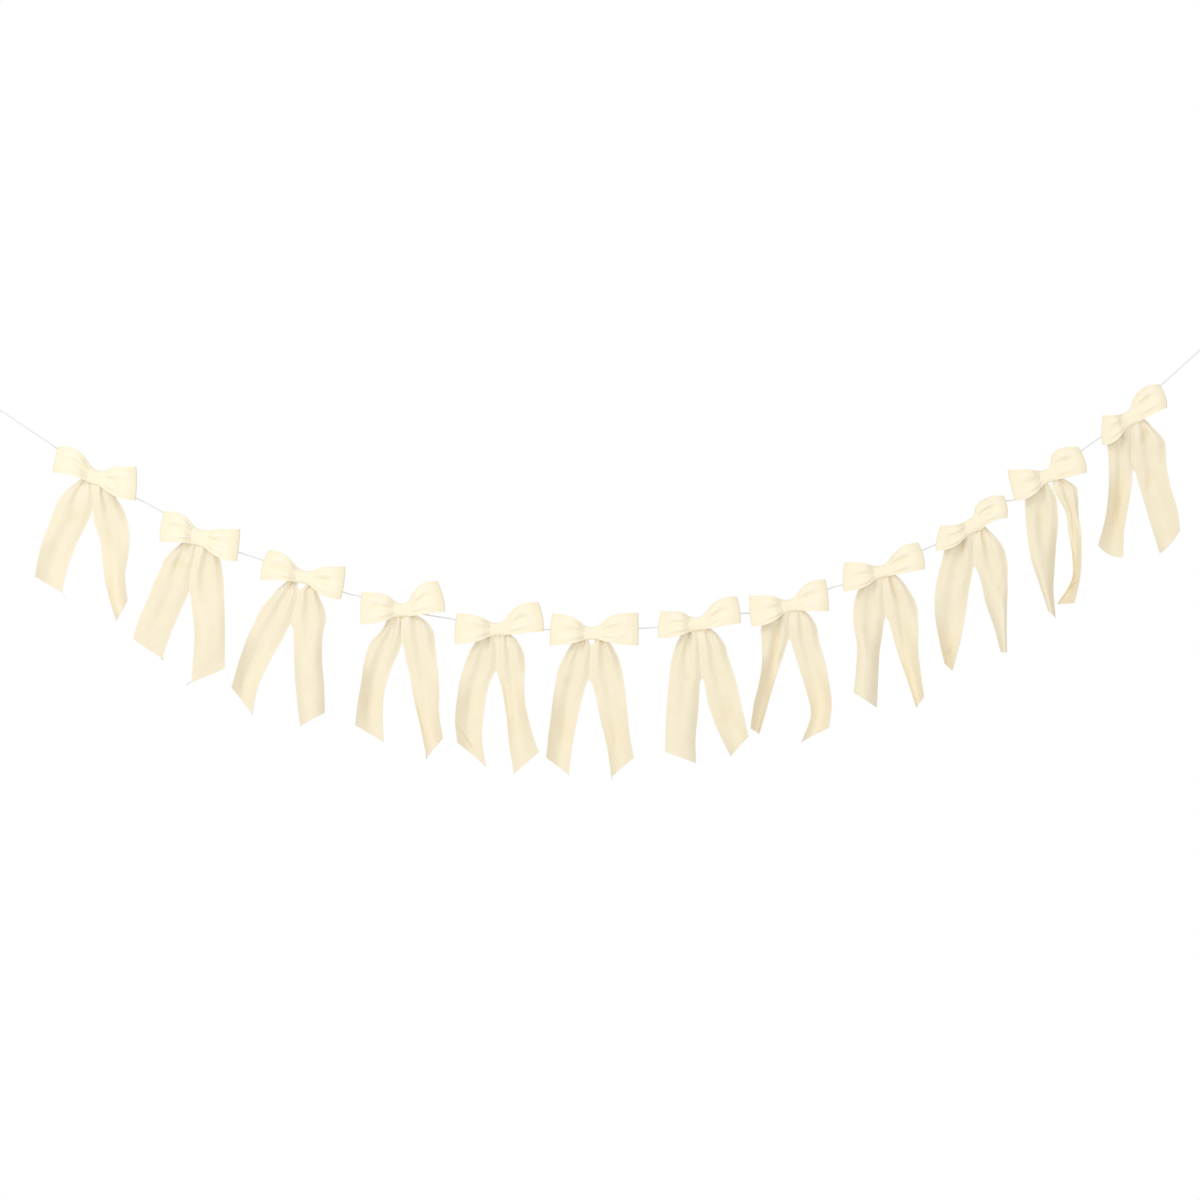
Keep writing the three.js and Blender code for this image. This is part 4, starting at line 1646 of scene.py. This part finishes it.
                Crease(0.22, 0.1, 0.55, 0.1, 8.0, 1.8, 0.3),
            ), kick=2,
        ),
        Tail(
            (44.5, 12.5), (45.5, 25.5), (48.5, 30.5), (48.5, 35.5), (46.5, 35.5), (38.5, 14),
            (189, 191), 24, 1, (
                *pleats(0.2, 0.2),
                Crease(0.8, 0.9, 0.9, -0.9, 4.0, 2.8, 0.4),
                Crease(0.86, 0.75, 1.0, 0.7, 4.0, -1.8, 0.5),
            ), kick=-6, neck=0.9,
        ),
    )),
    Bow(1744, -49, 24, 5, 82, loops=(
        Loop(41, 7, 42, -38, 5, 2.2, 0, 2, (
            *gathers(0.85, 0.7, 0.3, -0.2, -0.7),
            Crease(0.05, 0.1, 0.7, 0.05, 4.4, 2.0, 0.4),
            Crease(0.1, -0.5, 0.7, -0.5, 4.4, 1.6, 0.4),
        )),
        Loop(42.5, 53, 54.5, 18, 3.7, 1.2, 3.5, 3.5, (
            *gathers(0.85, 0.7, 0.3, -0.3, -0.7),
            Crease(0.15, 0.0, 0.7, 0.1, 5.2, 2.2, 0.5),
            Crease(0.0, 0.6, 0.35, 0.55, 4.0, 2.2, 0.2),
        )),
    ), tails=(
        Tail((34, -2), (33, -2), (32, -3), (34, 2.5), (39, 9.5), (49, 11), (188, 206), 6, 1, (
            *pleats(0.2, 0.15, -0.5),
            Crease(0.28, 0.0, 0.95, 0.0, 6.5, 3.4, 0.5),
        ), bulge=5.5),
        Tail(
            (49.5, 3.5), (53.5, 3.5), (54.5, 10), (59, 20), (69, 32), (74, 44),
            (165, 200), 14, 1, (
                *pleats(0.14, 0.75),
                Crease(0.04, 0.3, 0.24, -0.65, 4.6, 4.8, 0.3),
                Crease(0.36, 0.15, 0.64, -0.75, 6.0, 2.6, 0.5),
            ), bulge=5.5,
        ),
    )),
)


@dataclass
class BowBuilder:
    """Makes the pieces of one bow: its loops, its tails, the band round them, and loose threads.

    Bows are numbered from the left, from 1. The cells are how many a grid has along and across.
    Knot shade is the even painted shade over the whole band, and edge_from the share of the way
    down a tail from which the way of its edge at the cut end is taken.
    """

    number: int
    bow: Bow
    finishes: Finishes
    loop_cells: tuple[int, int] = (192, 28)
    tail_cells: tuple[int, int] = (236, 44)
    knot_cells: tuple[int, int] = (72, 18)
    knot_shade: float = 0.25
    edge_from: float = 0.96

    KINDS = {Slot.LOOPS: "loops", Slot.TAILS: "tails", Slot.KNOTS: "knot"}

    def __post_init__(self) -> None:
        """Works out the bow's name and place."""
        self.name = f"bow_{self.number:02d}"
        self.seed = 10.0 * self.number
        self.waist = Waist(math.radians(self.bow.lean), self.bow.lift)
        self.place = Vector((self.bow.across, -CORD_DEPTH, self.bow.rise))

    def build(self) -> None:
        """Makes every piece of the bow."""
        self.make_loops()
        self.make_tails()
        self.make_knot()

    def make_cloth(
        self, slot: Slot, cells: tuple[int, int], width: float, shape: Shape, tone: PaintedShade
    ) -> tuple[bpy.types.Object, tuple[float, float]]:
        """Makes one ribbon of the bow in place of its CAD node.

        Args:
            slot: the record's slot that it takes its finish from.
            cells: how many cells its grid has along and across.
            width: its width in millimetres.
            shape: gives a point of it from the knot's middle.
            tone: gives the painted shade at that point.

        Returns:
            The ribbon's object, and its flat width and length in metres.
        """

        def placed(along: float, across: float) -> Vector:
            """Returns a point of the ribbon in the part's frame."""
            return self.place + shape(along, across)

        kind = self.KINDS[slot]
        pile = self.finishes.tails if slot is Slot.TAILS else self.finishes.loops
        length = run_length(placed)
        bm = shaped_grid(*cells, placed, (length, width), tone)
        thicken(bm, CLOTH)
        cloth = new_object(f"{self.name}_{kind}_cloth", bm, (pile, self.finishes.back), slot)
        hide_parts(f"{self.name}_{kind}")
        return cloth, (width * MM, length * MM)

    def make_loops(self) -> None:
        """Makes both loops, one closed band of ribbon."""
        left, right = self.bow.loops

        def half(along: float) -> tuple[Loop, int, float]:
            """Returns the loop, its side and how far round it a share of the band is."""
            return (right, 1, along * 2) if along <= 0.5 else (left, -1, 2 - along * 2)

        def shape(along: float, across: float) -> Vector:
            """Returns a point of the band."""
            loop, side, way = half(along)
            return loop.point(self.waist, side, way, across)

        def tone(along: float, across: float) -> float:
            """Returns the painted shade at a point of the band."""
            loop, _, way = half(along)
            return loop.tone(way, across)

        loops, flat = self.make_cloth(Slot.LOOPS, self.loop_cells, RIBBON_WIDTH, shape, tone)

    def make_tails(self) -> None:
        """Makes both tails, one ribbon through the knot, and the threads at its ends."""
        shapes = [TailShape(self.bow, side.value, self.seed + side.value) for side in Side]

        def half(along: float) -> tuple[TailShape, float]:
            """Returns the tail that a share of the ribbon is on, and how far out it is."""
            return (shapes[0], 1 - along * 2) if along <= 0.5 else (shapes[1], along * 2 - 1)

        def shape(along: float, across: float) -> Vector:
            """Returns a point of the ribbon."""
            tail, way = half(along)
            return tail.point(way, across)

        def tone(along: float, across: float) -> float:
            """Returns the painted shade at a point of the ribbon."""
            tail, way = half(along)
            return tail.tone(way, across)

        tails, flat = self.make_cloth(Slot.TAILS, self.tail_cells, RIBBON_WIDTH, shape, tone)
        threads = self.make_threads(shapes)

    def make_threads(self, shapes: Sequence[TailShape]) -> bpy.types.Object | None:
        """Makes the grey loose threads at the long corners of the bow's cut ends.

        Args:
            shapes: the left and the right tail.

        Returns:
            The threads as one object, or None where neither end is frayed.
        """
        draw = random.Random(self.name)
        bm = bmesh.new()
        for shape in shapes:
            if shape.tail.fray:
                corner = shape.point(1.0, -1.0)
                edge = corner - shape.point(self.edge_from, -1.0)
                shape.tail.fray.add_to(bm, self.place + corner, edge, draw)
        if not bm.verts:
            bm.free()
            return None
        return new_object(f"{self.name}_threads", bm, (self.finishes.fray,), Slot.TAILS)

    def make_knot(self) -> None:
        """Makes the band round the bow's waist."""
        knot = KnotShape(self.bow, self.seed)
        width = knot.half_width + knot.half_behind

        def tone(along: float, across: float) -> float:
            """Returns the band's even painted shade."""
            return self.knot_shade

        band, flat = self.make_cloth(Slot.KNOTS, self.knot_cells, width, knot.point, tone)


# -------------------------------------------------------------------------------- cord

# The cord's route from its left eye's knot to its right eye's knot, through every bow.
CORD_ROUTE = (
    (34.5, -24), (49, -34), (127, -86.5), (193, -136), (268, -173.5), (292, -187),
    (347.5, -227), (415, -250), (440.5, -258.5), (505, -284), (568, -308.5),
    (589, -313.8), (652, -333.5), (698.5, -343), (727, -347.5), (796, -362), (863.5, -363.4),
    (872.5, -363.5), (937, -368), (1009, -361.8), (1031.5, -360.3), (1094.5, -354.5),
    (1160.5, -339.3), (1172.5, -338.5), (1234, -326), (1294, -301.4), (1313.5, -295.9),
    (1372, -275), (1436.5, -243.1), (1453, -235.5), (1508.5, -207.5), (1558, -171),
    (1569.3, -168.6), (1621, -132.5), (1676.5, -91.3), (1696, -77.5), (1744, -47),
    (1789, 1.3), (1849, 56), (1861, 67),
)


@dataclass(frozen=True)
class Twist:
    """Three strands laid round each other: the section's three lobes turn along the cord."""

    diameter: float = CORD_DIAMETER
    strands: int = 3
    pitch: float = 9.0
    groove: float = 0.17
    sides: int = 12
    ring_spacing: float = 0.8

    def radius(self, distance: float, angle: float) -> float:
        """Returns the cord's radius at a distance along it and an angle round it."""
        turned = self.strands * (angle - 2 * math.pi * distance / self.pitch)
        return self.diameter / 2 * (1 - self.groove * (0.5 - 0.5 * math.cos(turned)))

    def centres(self, line: Sequence[Vector]) -> list[Vector]:
        """Returns the centres of the cord's rings along a line."""
        return evenly(line, self.ring_spacing)

    def along(self, line: Sequence[Vector]) -> bmesh.types.BMesh:
        """Makes the cord along a line."""
        return tube(self.centres(line), self.sides, self.radius)


@dataclass
class HangingLoop:
    """An eye at one end of the cord, and the knot of cord wound where it closes.

    The end is the cord's own, as (x, z), and inner the point before it. The outline is one side
    of the eye, along and out from the end, and reach is where the eye ends. The core is the
    straight cord inside the knot, and wound is from where to where the winding covers it.
    """

    name: str
    end: tuple[float, float]
    inner: tuple[float, float]
    outline: tuple[tuple[float, float], ...] = ((6.0, 0.6), (14.0, 4.7), (31.0, 8.5), (40.0, 6.4))
    reach: float = 43.0
    tension: float = 0.5
    core: tuple[float, ...] = (0.3, 4.0, 8.0)
    wound: tuple[float, float] = (1.3, 7.2)
    wound_radius: float = 1.8
    turns: float = 3.2
    steps: int = 64

    def place(self, along: float, out: float, forward: float = 0.0) -> Vector:
        """Finds a point by its place beside the cord's end.

        Args:
            along: how far past the end, the way that the cord leads.
            out: how far to the side, up for a cord that leads to the right.
            forward: how far nearer the room.

        Returns:
            The point in the part's frame, in millimetres.
        """
        end = Vector((self.end[0], 0, self.end[1]))
        ahead = (end - Vector((self.inner[0], 0, self.inner[1]))).normalized()
        side = Vector((-ahead.z, 0, ahead.x))
        return end + ahead * along + side * out + Vector((0, -forward, 0))

    def winding(self, i: int) -> Vector:
        """Finds a point of the cord that is wound round the knot.

        Args:
            i: the point's number, from 0 to the number of steps.

        Returns:
            The point in the part's frame, in millimetres.
        """
        angle = 2 * math.pi * self.turns * i / self.steps
        out, forward = self.wound_radius * math.cos(angle), self.wound_radius * math.sin(angle)
        return self.place(lerp(*self.wound, i / self.steps), out, forward)

    def build(self, finish: bpy.types.Material) -> bpy.types.Object:
        """Makes the eye and its wound knot.

        Args:
            finish: the cord's material.

        Returns:
            The hanging loop's object.
        """
        out = [self.place(along, aside) for along, aside in self.outline]
        back = [self.place(along, -aside) for along, aside in reversed(self.outline)]
        twist = Twist()
        bm = twist.along(through([*out, self.place(self.reach, 0), *back], self.tension))
        add_part(bm, twist.along([self.winding(i) for i in range(self.steps + 1)]))
        add_part(bm, twist.along([self.place(along, 0) for along in self.core]))
        loop = new_object(f"{self.name}_twisted", bm, (finish,), Slot.CORD)
        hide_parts(self.name)
        return loop


@dataclass
class Cord:
    """The twisted cord that every bow is on, with an eye at each end."""

    route: tuple[tuple[float, float], ...] = CORD_ROUTE
    tension: float = 0.3

    def build(self, finish: bpy.types.Material) -> None:
        """Args:
            finish: the cord's material.
        """
        line = through([Vector((x, 0, z)) for x, z in self.route], self.tension)
        centres = Twist().centres(line)
        cord = new_object("twisted_cord", Twist().along(line), (finish,), Slot.CORD)
        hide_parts("cord")
        eyes = [
            HangingLoop("left_hanging_loop", self.route[0], self.route[1]).build(finish),
            HangingLoop("right_hanging_loop", self.route[-1], self.route[-2]).build(finish),
        ]
        line[0] * MM
        distances_along(centres)[-1] * MM
        [centre * MM for centre in centres]


# ------------------------------------------------------------------------------- stage


@dataclass
class Stage:
    """The camera, the light and the floor, placed from the middle of the view."""

    centre: tuple[float, float, float] = (949.0, 0.0, -319.0)
    distance: float = 12000.0
    lens: float = 240.0
    sensor: float = 36.0
    floor_below: float = 1500.0
    floor_size: float = 4200.0
    ambient: float = 0.75
    key_watts: float = 38.0
    key_size: float = 2.2
    key_from: tuple[float, float, float] = (-2600.0, -3300.0, 1700.0)
    fill_watts: float = 310.0
    fill_size: float = 4.0
    fill_from: tuple[float, float, float] = (0.0, -12400.0, 600.0)

    def at(self, *way: float) -> Vector:
        """Returns the place in metres that is some way in millimetres from the centre."""
        return (Vector(self.centre) + Vector(way)) * MM

    def add_camera(self) -> None:
        """Puts the camera in front of the garland's middle, looking level."""
        data = bpy.data.cameras.new("front_view")
        data.lens = self.lens
        data.sensor_width = self.sensor
        camera = bpy.data.objects.new("front_view", data)
        camera.location = self.at(0, -self.distance, 0)
        camera.rotation_euler = (math.pi / 2, 0, 0)
        bpy.context.scene.collection.objects.link(camera)
        bpy.context.scene.camera = camera

    def add_lamp(
        self, name: str, watts: float, size: float, way: tuple[float, float, float]
    ) -> None:
        """Adds a square lamp that looks at the garland's middle.

        Args:
            name: the lamp's name.
            watts: its power.
            size: its side in metres.
            way: where it is from the garland's middle, in millimetres.
        """
        data = bpy.data.lights.new(name, "AREA")
        data.energy = watts
        data.shape = "SQUARE"
        data.size = size
        lamp = bpy.data.objects.new(name, data)
        lamp.location = self.at(*way)
        lamp.rotation_euler = Vector(way).to_track_quat("Z", "Y").to_euler()
        bpy.context.scene.collection.objects.link(lamp)

    def add_light(self) -> None:
        """Adds a soft lamp at the upper left, a fill lamp in front, and an even white world."""
        self.add_lamp("key", self.key_watts, self.key_size, self.key_from)
        self.add_lamp("fill", self.fill_watts, self.fill_size, self.fill_from)
        world = bpy.data.worlds.new("white")
        bpy.context.scene.world = world
        graph = Graph(world)
        rays = graph.node("ShaderNodeLightPath", {}, {})
        seen = Value(graph, rays.outputs["Is Camera Ray"])
        for kind in ("Is Glossy Ray", "Is Transmission Ray"):
            seen = seen.most(Value(graph, rays.outputs[kind]))
        strength = seen * (1.0 - self.ambient) + self.ambient
        inputs = {"Color": (1.0, 1.0, 1.0, 1.0), "Strength": strength}
        background = graph.node("ShaderNodeBackground", {}, inputs)
        surface = {"Surface": background.outputs["Background"]}
        graph.node("ShaderNodeOutputWorld", {}, surface)

    def add_floor(self) -> None:
        """Adds a plain pale floor well below the garland."""
        bm = bmesh.new()
        bmesh.ops.create_grid(bm, x_segments=1, y_segments=1, size=self.floor_size * MM / 2)
        bmesh.ops.translate(bm, verts=bm.verts[:], vec=self.at(0, 0, -self.floor_below))
        new_object("floor", bm, (Finish("pale_floor", "f2f1ee", 0.9).make(),))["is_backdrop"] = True


def write_sizes() -> None:
    boxes = {"cad": CAD_BOX, "visual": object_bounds()}
    lists = {name: [list(low), list(high)] for name, (low, high) in boxes.items()}


def main() -> None:
    """Builds the garland and its stage, a piece at a time."""
    logging.basicConfig(level=logging.INFO, format="%(name)s: %(message)s")
    stage = Stage()
    stage.add_camera()
    finishes = Finishes.make()
    Cord().build(finishes.cord)
    for number, bow in enumerate(BOWS, start=1):
        BowBuilder(number, bow, finishes).build()
    stage.add_light()
    stage.add_floor()
    bpy.context.scene.view_settings.view_transform = "Standard"
    write_sizes()


if __name__ == "__main__":
    main()
